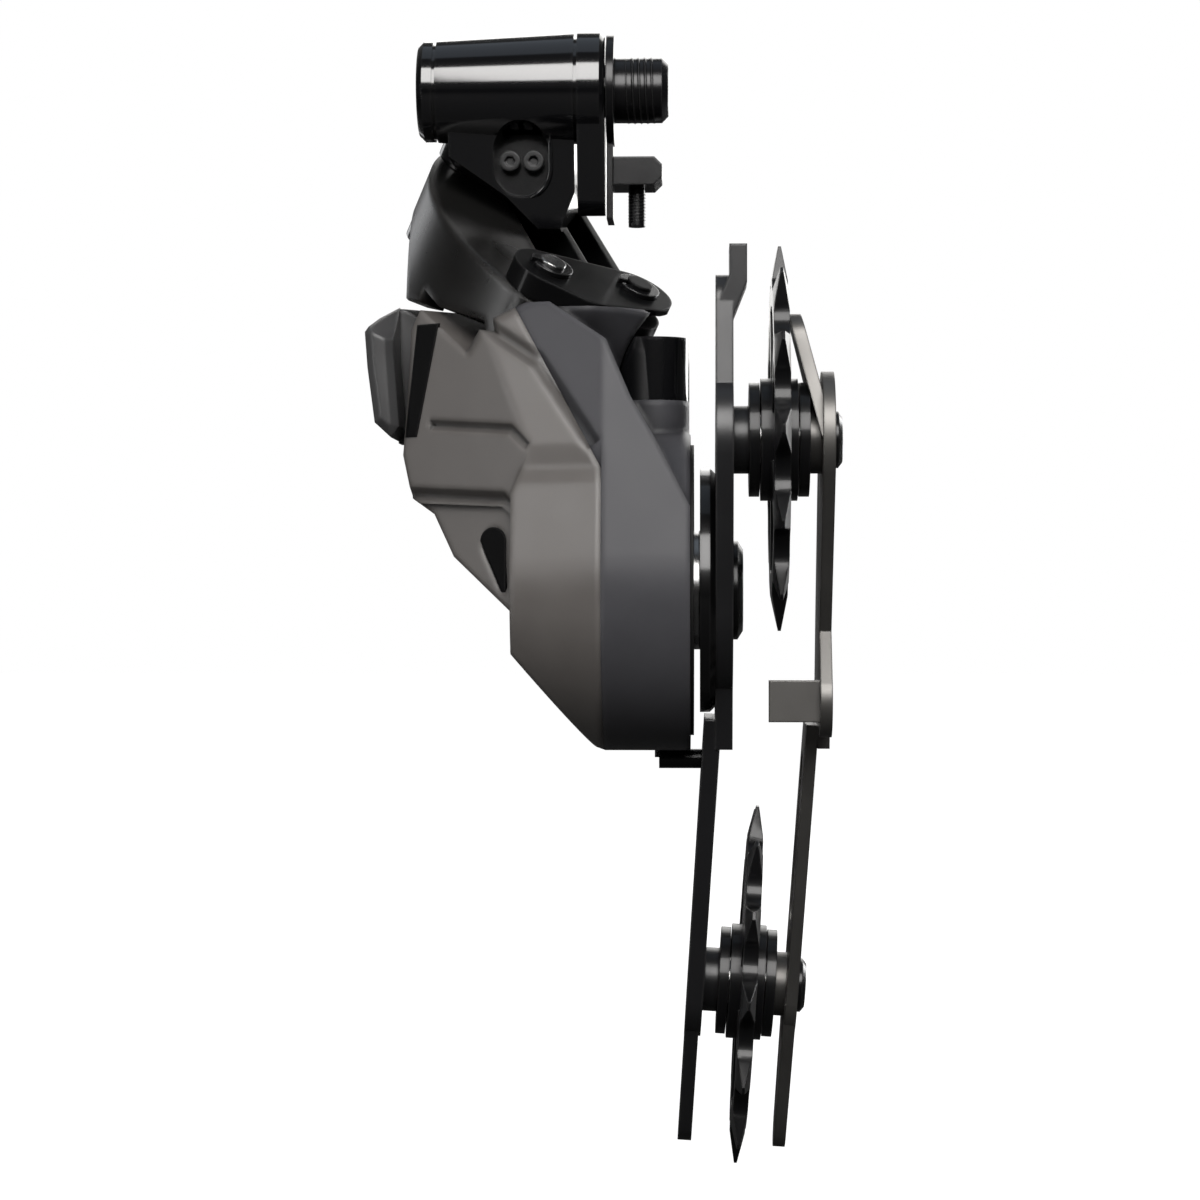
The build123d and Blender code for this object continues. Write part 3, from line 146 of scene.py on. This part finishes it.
def floor_material():
    """Pale floor that keeps the object's shadow and shows nearly white to the camera only."""
    material = bpy.data.materials.new("floor_pale")
    tree, nodes, links = nodes_of(material)
    out = nodes.new("ShaderNodeOutputMaterial")
    diffuse = nodes.new("ShaderNodeBsdfDiffuse")
    glow = nodes.new("ShaderNodeEmission")
    path = nodes.new("ShaderNodeLightPath")
    pale = nodes.new("ShaderNodeMix")
    pale.data_type = "RGBA"
    pale.inputs["A"].default_value = (*FLOOR_BOUNCE, 1)
    pale.inputs["B"].default_value = (*FLOOR_COLOUR, 1)
    links.new(path.outputs["Is Camera Ray"], pale.inputs["Factor"])
    links.new(pale.outputs["Result"], diffuse.inputs["Color"])
    away = nodes.new("ShaderNodeVectorMath")
    away.operation = "LENGTH"
    links.new(nodes.new("ShaderNodeTexCoord").outputs["Object"], away.inputs[0])
    lift = nodes.new("ShaderNodeMapRange")
    lift.inputs["From Min"].default_value, lift.inputs["From Max"].default_value = FLOOR_FADE
    lift.inputs["To Min"].default_value, lift.inputs["To Max"].default_value = FLOOR_LIFT
    links.new(away.outputs["Value"], lift.inputs["Value"])
    seen = math_node(tree, "MULTIPLY", path.outputs["Is Camera Ray"], lift.outputs[0])
    links.new(seen, glow.inputs["Strength"])
    add = nodes.new("ShaderNodeAddShader")
    links.new(diffuse.outputs[0], add.inputs[0])
    links.new(glow.outputs[0], add.inputs[1])
    links.new(add.outputs[0], out.inputs["Surface"])
    return material


def sky():
    """World that is white to the camera, pale behind the object to gloss, and dim grey as a light."""
    world = bpy.data.worlds.new("studio")
    world.use_nodes = True
    tree = world.node_tree
    background = tree.nodes["Background"]
    background.inputs["Color"].default_value = (1, 1, 1, 1)
    path = tree.nodes.new("ShaderNodeLightPath")
    ways = tree.nodes.new("ShaderNodeSeparateXYZ")
    tree.links.new(tree.nodes.new("ShaderNodeTexCoord").outputs["Generated"], ways.inputs[0])
    behind = math_node(tree, "MULTIPLY", ways.outputs["Y"], BACKDROP_GLOSS, clamp=True)
    mirrored = math_node(tree, "MAXIMUM", path.outputs["Is Glossy Ray"], path.outputs["Is Transmission Ray"])
    seen = math_node(tree, "MULTIPLY", mirrored, behind)
    whitest = math_node(tree, "MAXIMUM", seen, path.outputs["Is Camera Ray"])
    lifted = math_node(tree, "MAXIMUM", whitest, WORLD_STRENGTH)
    tree.links.new(lifted, background.inputs["Strength"])
    bpy.context.scene.world = world


def floor():
    level = cad_low.z - FLOOR_GAP
    half = STUDIO_SIZE / 2
    corners = [(-half, -half), (half, -half), (half, half), (-half, half)]
    build = bmesh.new()
    build.faces.new([build.verts.new((x, y, level)) for x, y in corners])
    obj = mesh_object("floor", build)
    obj.data.materials.append(floor_material())


def studio():
    bpy.context.scene.view_settings.view_transform = "Standard"
    sky()
    floor()
    aim = (cad_low + cad_high) / 2
    for name, offset, size, power, colour in LAMPS:
        softbox(name, aim + Vector(offset), aim, size, power, colour)


# ---------------------------------------------------------------- materials
SHADER_SAMPLES = 6
COAT_ROUGHNESS = 0.12
GRAIN_DETAIL = 3
GRAIN_DEPTH = 0.02                    # mm
PATCH_SIZE = 7                        # mm, of the uneven shade and gloss
PATCH_DETAIL = 5
GLOSS_SPREAD = (0.82, 1.22)           # least and greatest roughness, as shares of the finish's own
LEAST_ROUGHNESS = 0.02
RUB_STARTS = 0.985                    # dot of the rounded and the flat normal where rubbing starts
RUB_FULL = 0.86
PAINTED_RECESS_SHADE = 0.12                   # share of the colour left by painted shade deep in recesses
PAINTED_RECESS_CURVE = 1.6


def noise(tree, size, detail):
    """Noise in object space whose features measure a size in millimetres."""
    node = tree.nodes.new("ShaderNodeTexNoise")
    node.inputs["Scale"].default_value = 1 / (size * MM)
    node.inputs["Detail"].default_value = detail
    tree.links.new(tree.nodes.new("ShaderNodeTexCoord").outputs["Object"], node.inputs["Vector"])
    return node.outputs["Fac"]


def mapped(tree, value, start=0.0, end=1.0, low=0.0, high=1.0):
    """Map Range node from start and end to low and high; returns its output socket."""
    node = tree.nodes.new("ShaderNodeMapRange")
    for socket, number in zip(node.inputs[1:5], (start, end, low, high)):
        socket.default_value = number
    tree.links.new(value, node.inputs["Value"])
    return node.outputs[0]


def mixed(tree, factor, a, b):
    """Colour mix whose ends are sockets or colours; returns its output socket."""
    node = tree.nodes.new("ShaderNodeMix")
    node.data_type = "RGBA"
    tree.links.new(factor, node.inputs["Factor"])
    for name, end in (("A", a), ("B", b)):
        if isinstance(end, bpy.types.NodeSocket):
            tree.links.new(end, node.inputs[name])
        else:
            node.inputs[name].default_value = (*end, 1)
    return node.outputs["Result"]


def rounded_normal(tree, edge):
    """Normal rounded over edges by a radius in millimetres."""
    node = tree.nodes.new("ShaderNodeBevel")
    node.samples = SHADER_SAMPLES
    node.inputs["Radius"].default_value = edge * MM
    return node.outputs[0]


def rubbed_edges(tree, rounded, patches, wear):
    """Amount of wear: most where the rounded normal departs from the flat one, in patches."""
    dot = tree.nodes.new("ShaderNodeVectorMath")
    dot.operation = "DOT_PRODUCT"
    tree.links.new(rounded, dot.inputs[0])
    tree.links.new(tree.nodes.new("ShaderNodeNewGeometry").outputs["Normal"], dot.inputs[1])
    rubbed = mapped(tree, dot.outputs["Value"], RUB_STARTS, RUB_FULL, 0.0, wear)
    return math_node(tree, "MULTIPLY", rubbed, patches)


def painted_shade_openness(tree, reach):
    """Share of open space round a point within a reach in millimetres, curved; it sets the painted shade that
    darkens recesses.
    """
    node = tree.nodes.new("ShaderNodeAmbientOcclusion")
    node.samples = SHADER_SAMPLES
    node.inputs["Distance"].default_value = reach * MM
    return math_node(tree, "POWER", node.outputs["AO"], PAINTED_RECESS_CURVE)


def surface(name, colour, roughness, metallic=0.0, specular=0.5, coat=0.0, coat_ior=1.5,
            grain=0.25, grain_size=0.18, mottling=0.12, wear=0.25, wear_colour=(0.22, 0.22, 0.22),
            edge=0.35, painted_shade_reach=None):
    """Finish with rounded edges, fine grain, uneven gloss, rubbed edges and, given a reach, painted shade in
    recesses; lengths in millimetres.
    """
    material = bpy.data.materials.new(name)
    tree, nodes, links = nodes_of(material)
    shader = nodes.new("ShaderNodeBsdfPrincipled")
    shader.inputs["Metallic"].default_value = metallic
    shader.inputs["Specular IOR Level"].default_value = specular
    shader.inputs["Coat Weight"].default_value = coat
    shader.inputs["Coat Roughness"].default_value = COAT_ROUGHNESS
    shader.inputs["Coat IOR"].default_value = coat_ior
    links.new(shader.outputs[0], nodes.new("ShaderNodeOutputMaterial").inputs["Surface"])
    patches = noise(tree, PATCH_SIZE, PATCH_DETAIL)
    rounded = rounded_normal(tree, edge)

    bump = nodes.new("ShaderNodeBump")
    bump.inputs["Strength"].default_value = grain
    bump.inputs["Distance"].default_value = GRAIN_DEPTH * MM
    links.new(noise(tree, grain_size, GRAIN_DETAIL), bump.inputs["Height"])
    links.new(rounded, bump.inputs["Normal"])
    links.new(bump.outputs[0], shader.inputs["Normal"])

    dark = [c * (1 - mottling) for c in colour]
    light = [min(1, c * (1 + mottling)) for c in colour]
    shade = mixed(tree, patches, dark, light)
    # painted shade: the colour is darkened where little open space lies round the point, as in recesses
    if painted_shade_reach:
        shade = mixed(tree, painted_shade_openness(tree, painted_shade_reach), [c * PAINTED_RECESS_SHADE for c in colour], shade)
    worn = mixed(tree, rubbed_edges(tree, rounded, patches, wear), shade, wear_colour)
    links.new(worn, shader.inputs["Base Color"])

    least, most = [roughness * share for share in GLOSS_SPREAD]
    gloss = mapped(tree, patches, low=max(LEAST_ROUGHNESS, least), high=min(1.0, most))
    links.new(gloss, shader.inputs["Roughness"])
    return material


FINISHES = {
    "black_gloss": surface("anodised_gloss", (0.0026, 0.0027, 0.0032), 0.2, specular=0.05, coat=1.0,
                           coat_ior=1.7, grain=0.04, wear=0.05, edge=0.8),
    "black_satin": surface("anodised_satin", (0.0026, 0.0026, 0.0028), 0.30, specular=0.12, coat=0.7,
                           grain=0.12, wear=0.08, edge=0.6),
    # both grey finishes carry painted shade in recesses, within 4 mm
    "grey_outer": surface("grey_satin_warm", (0.090, 0.083, 0.078), 0.38, specular=0.7, grain=0.35, wear=0.3,
                          wear_colour=(0.3, 0.29, 0.28), edge=1.6, painted_shade_reach=4.0),
    # cool dark grey: partly the inner housing's own tone, partly painted shade, darker and bluer for the key light
    # its band catches less of
    "grey_inner": surface("grey_satin_cool_and_painted_shade", (0.050, 0.050, 0.055), 0.38, specular=0.2, grain=0.35, wear=0.25,
                          wear_colour=(0.2, 0.2, 0.21), edge=1.4, painted_shade_reach=4.0),
    "steel_black": surface("black_oxide", (0.005, 0.005, 0.0055), 0.24, metallic=0.3, grain=0.15, wear=0.3),
    "steel_bright": surface("ground_steel", (0.50, 0.50, 0.50), 0.24, metallic=1.0, grain=0.2, wear=0.2,
                            wear_colour=(0.7, 0.7, 0.7)),
    "inner_plate_black": surface("plate_black", (0.130, 0.126, 0.120), 0.42, metallic=0.85, grain=0.12,
                                 wear=0.3),
    "pulley_black": surface("moulded_black", (0.0030, 0.0030, 0.0034), 0.34, specular=0.2, coat=0.3,
                            grain=0.3, grain_size=0.3, wear=0.1),
    "bronze": surface("sintered_bronze", (0.42, 0.30, 0.16), 0.42, metallic=1.0, grain=0.5, wear=0.1),
    "rubber": surface("rubber", (0.004, 0.004, 0.004), 0.62, specular=0.3, grain=0.5, wear=0.0),
    "lens": surface("lens", (0.35, 0.36, 0.38), 0.12, coat=0.5, grain=0.02, wear=0.0),
    "electronics": surface("moulded_case", (0.035, 0.035, 0.04), 0.5, grain=0.4, wear=0.05),
    "board": surface("solder_mask", (0.012, 0.08, 0.035), 0.3, coat=0.3, grain=0.2, wear=0.0),
}
# matte black of the yoke, inner link and low pin, also used for the strips of painted shade
YOKE_AND_PAINTED_SHADE_BLACK = surface("yoke_and_painted_shade_black", (0.0028, 0.0028, 0.003), 0.45, specular=0.06, coat=0.12, grain=0.2,
                     wear=0.1, edge=0.6)
NODE_FINISHES = {   # nodes whose finish differs from others of their slot
    "lower_yoke": YOKE_AND_PAINTED_SHADE_BLACK,
    "inner_link": YOKE_AND_PAINTED_SHADE_BLACK,
    "inner_low_pin": YOKE_AND_PAINTED_SHADE_BLACK,
    "outer_guard": surface("guard_satin", (0.045, 0.045, 0.046), 0.32, grain=0.2, wear=0.2, edge=0.9),
    "outer_link": surface("link_satin", (0.007, 0.0068, 0.0066), 0.28, specular=0.5, grain=0.2, wear=0.15,
                          wear_colour=(0.12, 0.11, 0.10), edge=2.0),
    "outer_plate": surface("plate_satin", (0.010, 0.010, 0.011), 0.34, grain=0.2, wear=0.3, edge=0.5),
}


def dress_nodes():
    slots = {row["node"]: row["material_slot"] for row in frame["record"]["subparts"]}
    for name, obj in frame["nodes"].items():
        obj.data.materials.clear()
        obj.data.materials.append(NODE_FINISHES.get(name, FINISHES[slots[name]]))


# ---------------------------------------------------------------- pieces added to the solids, in millimetres
TOOTH_ROOT_R = 23.6
TOOTH_ROOT_HALF = 1.15
TOOTH_TIP_HALF = 0.22
TOOTH_MARGIN = 0.2                    # how far the cones' rim stands past the teeth
WELD = 0.001

OUTER_PLATE_T = 2.3
INNER_PLATE_T = 2.0
PLATE_INSET = 0.05                    # of a finger's faces from the plate's
PLATE_EYE_R = 9.5
FINGER_ROOT = 7.6                     # half widths
FINGER_TIP = 4.2
FINGER_REACH = 28.0
GUIDE_FINGER_REACH = 18.5
GUIDE_FINGER_LEAN = 0.26

THREAD_FOOT = 0.45                    # half width of a ridge, in pitches
THREAD_SINK = 0.1                     # how deep a ridge's foot lies
BOLT_THREAD_R = 5.0
BOLT_THREAD_PITCH = 1.0
BOLT_THREAD_DEPTH = 0.14
BOLT_THREAD_START = 1.4               # along x, past the hanger's face
BOLT_THREAD_END = 1.6                 # from the bolt's end
SCREW_THREAD_PITCH = 0.5
SCREW_THREAD_DEPTH = 0.1
SCREW_THREAD_INSET = 0.4

LIP_R = 4.6                           # from the middle of the pocket's round foot
LIP_T = 0.42                          # radius of the bead
LIP_DROP = 1.4                        # from the screws' middle to the middle of the foot
LIP_RISE = 5.0                        # straight part above that middle
LIP_STEP = 0.5
LIP_TURN = 72                         # degrees round the foot
LIP_TURN_STEP = 6
LIP_RUNOUT = 0.25                     # growth of the bead per step at its ends
BEAD_SIDES = 12

# (x, z) places on the outer housing, from the low corner of its box
LAID_LIFT = 0.12                      # how far a laid strip stands out of its face
LAID_DEPTH = 0.3                      # how far it goes in
# teardrop patch of painted shade laid over the pocket
TEAR_ANCHOR = (11.0, 31.6)            # on the flat face beside the teardrop pocket
TEAR_AT = (14.65, 31.6)
TEAR_TIP = (16.3, 24.0)
TEAR_R = 2.0
TEAR_TIP_R = 0.3
TEAR_STEPS = 12
# strip of painted shadow where the gap between guard and housing lies in shade
PAINTED_SHADOW_ANCHOR = (5.0, 56.0)             # on the facet beside the guard
PAINTED_SHADOW_LEFT = ((2.4, 64.6), (0.45, 47.6))
PAINTED_SHADOW_RIGHT = ((5.9, 64.6), (2.3, 47.6))
PAINTED_SHADOW_STEPS = 8


def joint(name):
    """A joint's place in metres and its unit axis."""
    row = next(row for row in frame["joints"] if row["name"] == name)
    return Vector(row["pos_m"]), Vector(row["axis"]).normalized()


def stand(at, axis, up=(0, 0, 1)):
    """Matrix at a place, with X along an axis and Z leaning towards up."""
    x = Vector(axis).normalized()
    y = Vector(up).cross(x).normalized()
    return Matrix.Translation(at) @ Matrix((x, y, x.cross(y))).transposed().to_4x4()


def lathe(build, profile, matrix, segments):
    """Turns a closed loop of (along, radius) round local X."""
    columns = []
    for along, radius in profile:
        ring = []
        for step in range(segments if radius else 1):
            angle = 2 * math.pi * step / segments
            point = Vector((along, radius * math.cos(angle), radius * math.sin(angle)))
            ring.append(build.verts.new(matrix @ (point * MM)))
        columns.append(ring if radius else ring * segments)
    for this, other in zip(columns, columns[1:] + columns[:1]):
        for step in range(segments):
            ahead = (step + 1) % segments
            corners = list(dict.fromkeys((this[step], this[ahead], other[ahead], other[step])))
            if len(corners) > 2:
                build.faces.new(corners)


def slab(build, outline, low, high, matrix, lean=0.0):
    """Plate between two heights along local X, with its outline in local Y and Z and a lean with Z."""
    loops = []
    for x in (low, high):
        loops.append([build.verts.new(matrix @ (Vector((x - lean * z, y, z)) * MM)) for y, z in outline])
    build.faces.new(loops[0][::-1])
    build.faces.new(loops[1])
    for k in range(len(outline)):
        ahead = (k + 1) % len(outline)
        build.faces.new((loops[0][k], loops[0][ahead], loops[1][ahead], loops[1][k]))


def thread(build, radius, depth, pitch, low, high, matrix, segments):
    """Helical ridge with a pointed crest that runs out at both ends."""
    steps = int((high - low) / pitch * segments)
    rows = []
    for step in range(steps + 1):
        angle = 2 * math.pi * step / segments
        along = low + pitch * step / segments
        fade = min(1, step / segments, (steps - step) / segments)
        row = []
        for offset, height in ((-THREAD_FOOT, -THREAD_SINK), (0, depth * fade), (THREAD_FOOT, -THREAD_SINK)):
            r = radius + height
            point = Vector((along + offset * pitch, r * math.cos(angle), r * math.sin(angle)))
            row.append(build.verts.new(matrix @ (point * MM)))
        rows.append(row)
    for this, other in zip(rows, rows[1:]):
        for k in range(3):
            build.faces.new((this[k], this[(k + 1) % 3], other[(k + 1) % 3], other[k]))
    build.faces.new(rows[0])
    build.faces.new(rows[-1][::-1])


def piece(name, body, slot, build, smooth_below=35, finish=None):
    """Adds a mesh as a piece of a body, smooth over shallow edges only."""
    bmesh.ops.recalc_face_normals(build, faces=build.faces)
    for face in build.faces:
        face.smooth = True
    for edge in build.edges:
        edge.smooth = edge.calc_face_angle(math.pi) < math.radians(smooth_below)
    obj = mesh_object(name, build)
    obj.data.materials.append(finish or FINISHES[slot])
    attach(obj, body)
    return obj


def tooth_cones(wheel, at, axis):
    """Two cones back to back, as thick as the teeth are at their root and at their tip."""
    low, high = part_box(wheel)
    rim = (high.y - low.y) / 2 / MM + TOOTH_MARGIN
    slope = (TOOTH_ROOT_HALF - TOOTH_TIP_HALF) / (rim - TOOTH_ROOT_R)
    middle = TOOTH_TIP_HALF + slope * rim
    profile = [(-middle, 0), (-TOOTH_TIP_HALF, rim), (TOOTH_TIP_HALF, rim), (middle, 0)]
    build = bmesh.new()
    lathe(build, profile, stand(at, axis), segments=96)
    bmesh.ops.recalc_face_normals(build, faces=build.faces)
    return mesh_object(wheel + "_cones", build)


def pulley_teeth(wheel):
    """Pulley whose teeth thin towards their tips: its solid within two cones set back to back."""
    at, axis = joint(wheel + "_spin")
    cones = tooth_cones(wheel, at, axis)
    whole = bmesh.new()
    whole.from_mesh(frame["nodes"][wheel].data)
    bmesh.ops.remove_doubles(whole, verts=whole.verts, dist=WELD * MM)
    body = mesh_object(wheel + "_whole", whole)
    taper = body.modifiers.new("taper", "BOOLEAN")
    taper.operation = "INTERSECT"
    taper.solver = "EXACT"
    taper.object = cones
    build = bmesh.new()
    build.from_mesh(body.evaluated_get(bpy.context.evaluated_depsgraph_get()).to_mesh())
    for obj in (cones, body):
        bpy.data.objects.remove(obj)
    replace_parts(piece(wheel + "_toothed", wheel, "pulley_black", build), wheel)


def finger_outline(root, tip, reach, segments=14):
    """Tapering tongue from the middle of a plate's eye down to a round end."""
    points = [(-root, 0.0)]
    for step in range(segments + 1):
        angle = math.pi * (1 + step / segments)
        points.append((tip * math.cos(angle), -(reach - tip) + tip * math.sin(angle)))
    return points + [(root, 0.0)]


def plate_face(node, at, axis):
    """Least and greatest distance along an axis, in millimetres, of a node's points near that axis."""
    offsets = [v.co - at for v in frame["nodes"][node].data.vertices]
    near = [p.dot(axis) / MM for p in offsets if (p - axis * p.dot(axis)).length < PLATE_EYE_R * MM]
    return min(near), max(near)


def tension_fingers():
    """Chain guides that carry both cage plates past the tension pulley."""
    at, axis = joint("tension_pulley_spin")
    pivot, _ = joint("cage_pivot")
    up = pivot - at
    up -= axis * up.dot(axis)
    outer_low, _ = plate_face("outer_plate", at, axis)
    _, inner_high = plate_face("inner_plate", at, axis)
    outline = finger_outline(FINGER_ROOT, FINGER_TIP, FINGER_REACH)
    outer_finish = NODE_FINISHES["outer_plate"]
    spans = [("outer_finger", outer_low, outer_low + OUTER_PLATE_T, "black_satin", outer_finish),
             ("inner_finger", inner_high - INNER_PLATE_T, inner_high, "inner_plate_black", None)]
    for name, low, high, slot, finish in spans:
        build = bmesh.new()
        slab(build, outline, low + PLATE_INSET, high - PLATE_INSET, stand(at, axis, up))
        piece(name, "cage", slot, build, finish=finish)


def guide_finger():
    """Chain guide that carries the inner cage plate up past the guide pulley."""
    at, axis = joint("guide_pulley_spin")
    _, high = plate_face("inner_plate", at, axis)
    outline = finger_outline(FINGER_ROOT, FINGER_TIP, GUIDE_FINGER_REACH)
    build = bmesh.new()
    slab(build, outline, high - INNER_PLATE_T + PLATE_INSET, high - PLATE_INSET,
         stand(at, axis, (0, 0, -1)), lean=-GUIDE_FINGER_LEAN)
    piece("inner_top_finger", "cage", "inner_plate_black", build)


def front_hit(node, x, z):
    """Point and normal on the front of a node at an x and z in millimetres."""
    front = Vector((x * MM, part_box(node)[0].y - 0.01, z * MM))
    _, point, normal, _ = frame["nodes"][node].ray_cast(front, Vector((0, 1, 0)))
    return point, normal


def painted_shade_strip(name, node, body, anchor, left, right):
    """Thin dark strip of painted shade between two rows of (x, z) points, laid on the flat face found at an
    anchor.
    """
    point, normal = front_hit(node, *anchor)
    tops, bases = [], []
    build = bmesh.new()
    for row in (left, right):
        spots = []
        for x, z in row:
            spot = Vector((x * MM, point.y, z * MM))
            spot.y -= (spot - point).dot(normal) / normal.y
            spots.append(spot)
        tops.append([build.verts.new(spot + normal * LAID_LIFT * MM) for spot in spots])
        bases.append([build.verts.new(spot - normal * LAID_DEPTH * MM) for spot in spots])
    last = len(left) - 1
    for k in range(last):
        build.faces.new((tops[0][k], tops[0][k + 1], tops[1][k + 1], tops[1][k]))
        build.faces.new((bases[0][k], bases[1][k], bases[1][k + 1], bases[0][k + 1]))
        build.faces.new((tops[0][k], bases[0][k], bases[0][k + 1], tops[0][k + 1]))
        build.faces.new((tops[1][k], tops[1][k + 1], bases[1][k + 1], bases[1][k]))
    for k in (0, last):
        build.faces.new((tops[0][k], tops[1][k], bases[1][k], bases[0][k]))
    # painted shade: the strip takes the matte black finish, and the rubber slot is only a fallback
    piece(name, body, "rubber", build, finish=YOKE_AND_PAINTED_SHADE_BLACK)


def between(start, end, share):
    """Pair of numbers at a share of the way from one pair to another."""
    return tuple(a + (b - a) * share for a, b in zip(start, end))


def on_housing(x, z):
    """Place on the outer housing, in millimetres, from the low corner of its box."""
    corner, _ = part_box("outer_housing")
    return corner.x / MM + x, corner.z / MM + z


def painted_pocket_shade():
    """Painted shade over the teardrop pocket in the outer housing: a dark half round with a tail below, laid flat
    across the pocket.
    """
    widths = []
    for step in range(1, TEAR_STEPS):
        turn = math.pi / 2 * step / TEAR_STEPS
        widths.append((TEAR_AT[0], TEAR_AT[1] + TEAR_R * math.cos(turn), TEAR_R * math.sin(turn)))
    for step in range(TEAR_STEPS + 1):
        share = step / TEAR_STEPS
        widths.append((*between(TEAR_AT, TEAR_TIP, share), TEAR_R + (TEAR_TIP_R - TEAR_R) * share))
    left, right = [[on_housing(x + side * half, z) for x, z, half in widths] for side in (-1, 1)]
    painted_shade_strip("painted_pocket_shade", "outer_housing", "knuckle", on_housing(*TEAR_ANCHOR), left, right)


def painted_guard_shadow():
    """Painted shadow: a dark strip down the facet of the outer housing that faces the guard, where the gap between
    them lies in shade.
    """
    shares = [step / PAINTED_SHADOW_STEPS for step in range(PAINTED_SHADOW_STEPS + 1)]
    left, right = [[on_housing(*between(*side, share)) for share in shares]
                   for side in (PAINTED_SHADOW_LEFT, PAINTED_SHADOW_RIGHT)]
    painted_shade_strip("painted_guard_shadow", "outer_housing", "knuckle", on_housing(*PAINTED_SHADOW_ANCHOR), left, right)


def lip_path():
    """Points of the bracket's front down the inboard side of the screw pocket and round its foot."""
    low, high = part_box("limit_screws")
    middle = (low.x + high.x) / 2 / MM
    level = (low.z + high.z) / 2 / MM - LIP_DROP
    steps = int(LIP_RISE / LIP_STEP)
    places = [(middle + LIP_R, level + LIP_RISE - LIP_STEP * step) for step in range(steps)]
    for degrees in range(0, LIP_TURN + 1, LIP_TURN_STEP):
        turn = math.radians(degrees)
        places.append((middle + LIP_R * math.cos(turn), level - LIP_R * math.sin(turn)))
    return [front_hit("bracket_body", x, z)[0] for x, z in places]


def pocket_lip():
    """Raised lip along the bracket's screw pocket: a round bead that runs out at both ends."""
    path = lip_path()
    last = len(path) - 1
    build = bmesh.new()
    rings = []
    for k, centre in enumerate(path):
        along = (path[min(k + 1, last)] - path[max(k - 1, 0)]).normalized()
        side = along.cross(Vector((0, -1, 0))).normalized()
        out = side.cross(along)
        r = LIP_T * MM * min(1, LIP_RUNOUT * (1 + k), LIP_RUNOUT * (1 + last - k))
        turns = [2 * math.pi * step / BEAD_SIDES for step in range(BEAD_SIDES)]
        rings.append([build.verts.new(centre + r * (math.cos(turn) * side + math.sin(turn) * out))
                      for turn in turns])
    for this, other in zip(rings, rings[1:]):
        for step in range(BEAD_SIDES):
            ahead = (step + 1) % BEAD_SIDES
            build.faces.new((this[step], this[ahead], other[ahead], other[step]))
    build.faces.new(rings[0])
    build.faces.new(rings[-1][::-1])
    piece("pocket_lip", "bracket", "black_gloss", build, smooth_below=60)


def bolt_thread():
    _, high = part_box("mounting_bolt")
    build = bmesh.new()
    thread(build, BOLT_THREAD_R, BOLT_THREAD_DEPTH, BOLT_THREAD_PITCH, BOLT_THREAD_START,
           high.x / MM - BOLT_THREAD_END, stand(Vector(), (1, 0, 0)), segments=40)
    piece("bolt_thread", "mount", "steel_black", build)


def stop_screw_thread():
    low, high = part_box("stop_screw")
    middle = (low + high) / 2
    foot = Vector((middle.x, middle.y, low.z))
    build = bmesh.new()
    thread(build, (high.x - low.x) / 2 / MM, SCREW_THREAD_DEPTH, SCREW_THREAD_PITCH, SCREW_THREAD_INSET,
           (high.z - low.z) / MM - SCREW_THREAD_INSET, stand(foot, (0, 0, 1), (1, 0, 0)), segments=24)
    piece("stop_screw_thread", "mount", "steel_black", build)


camera()
studio()
dress_nodes()
pulley_teeth("guide_pulley")
pulley_teeth("tension_pulley")
tension_fingers()
guide_finger()
painted_pocket_shade()
painted_guard_shadow()
pocket_lip()
bolt_thread()
stop_screw_thread()
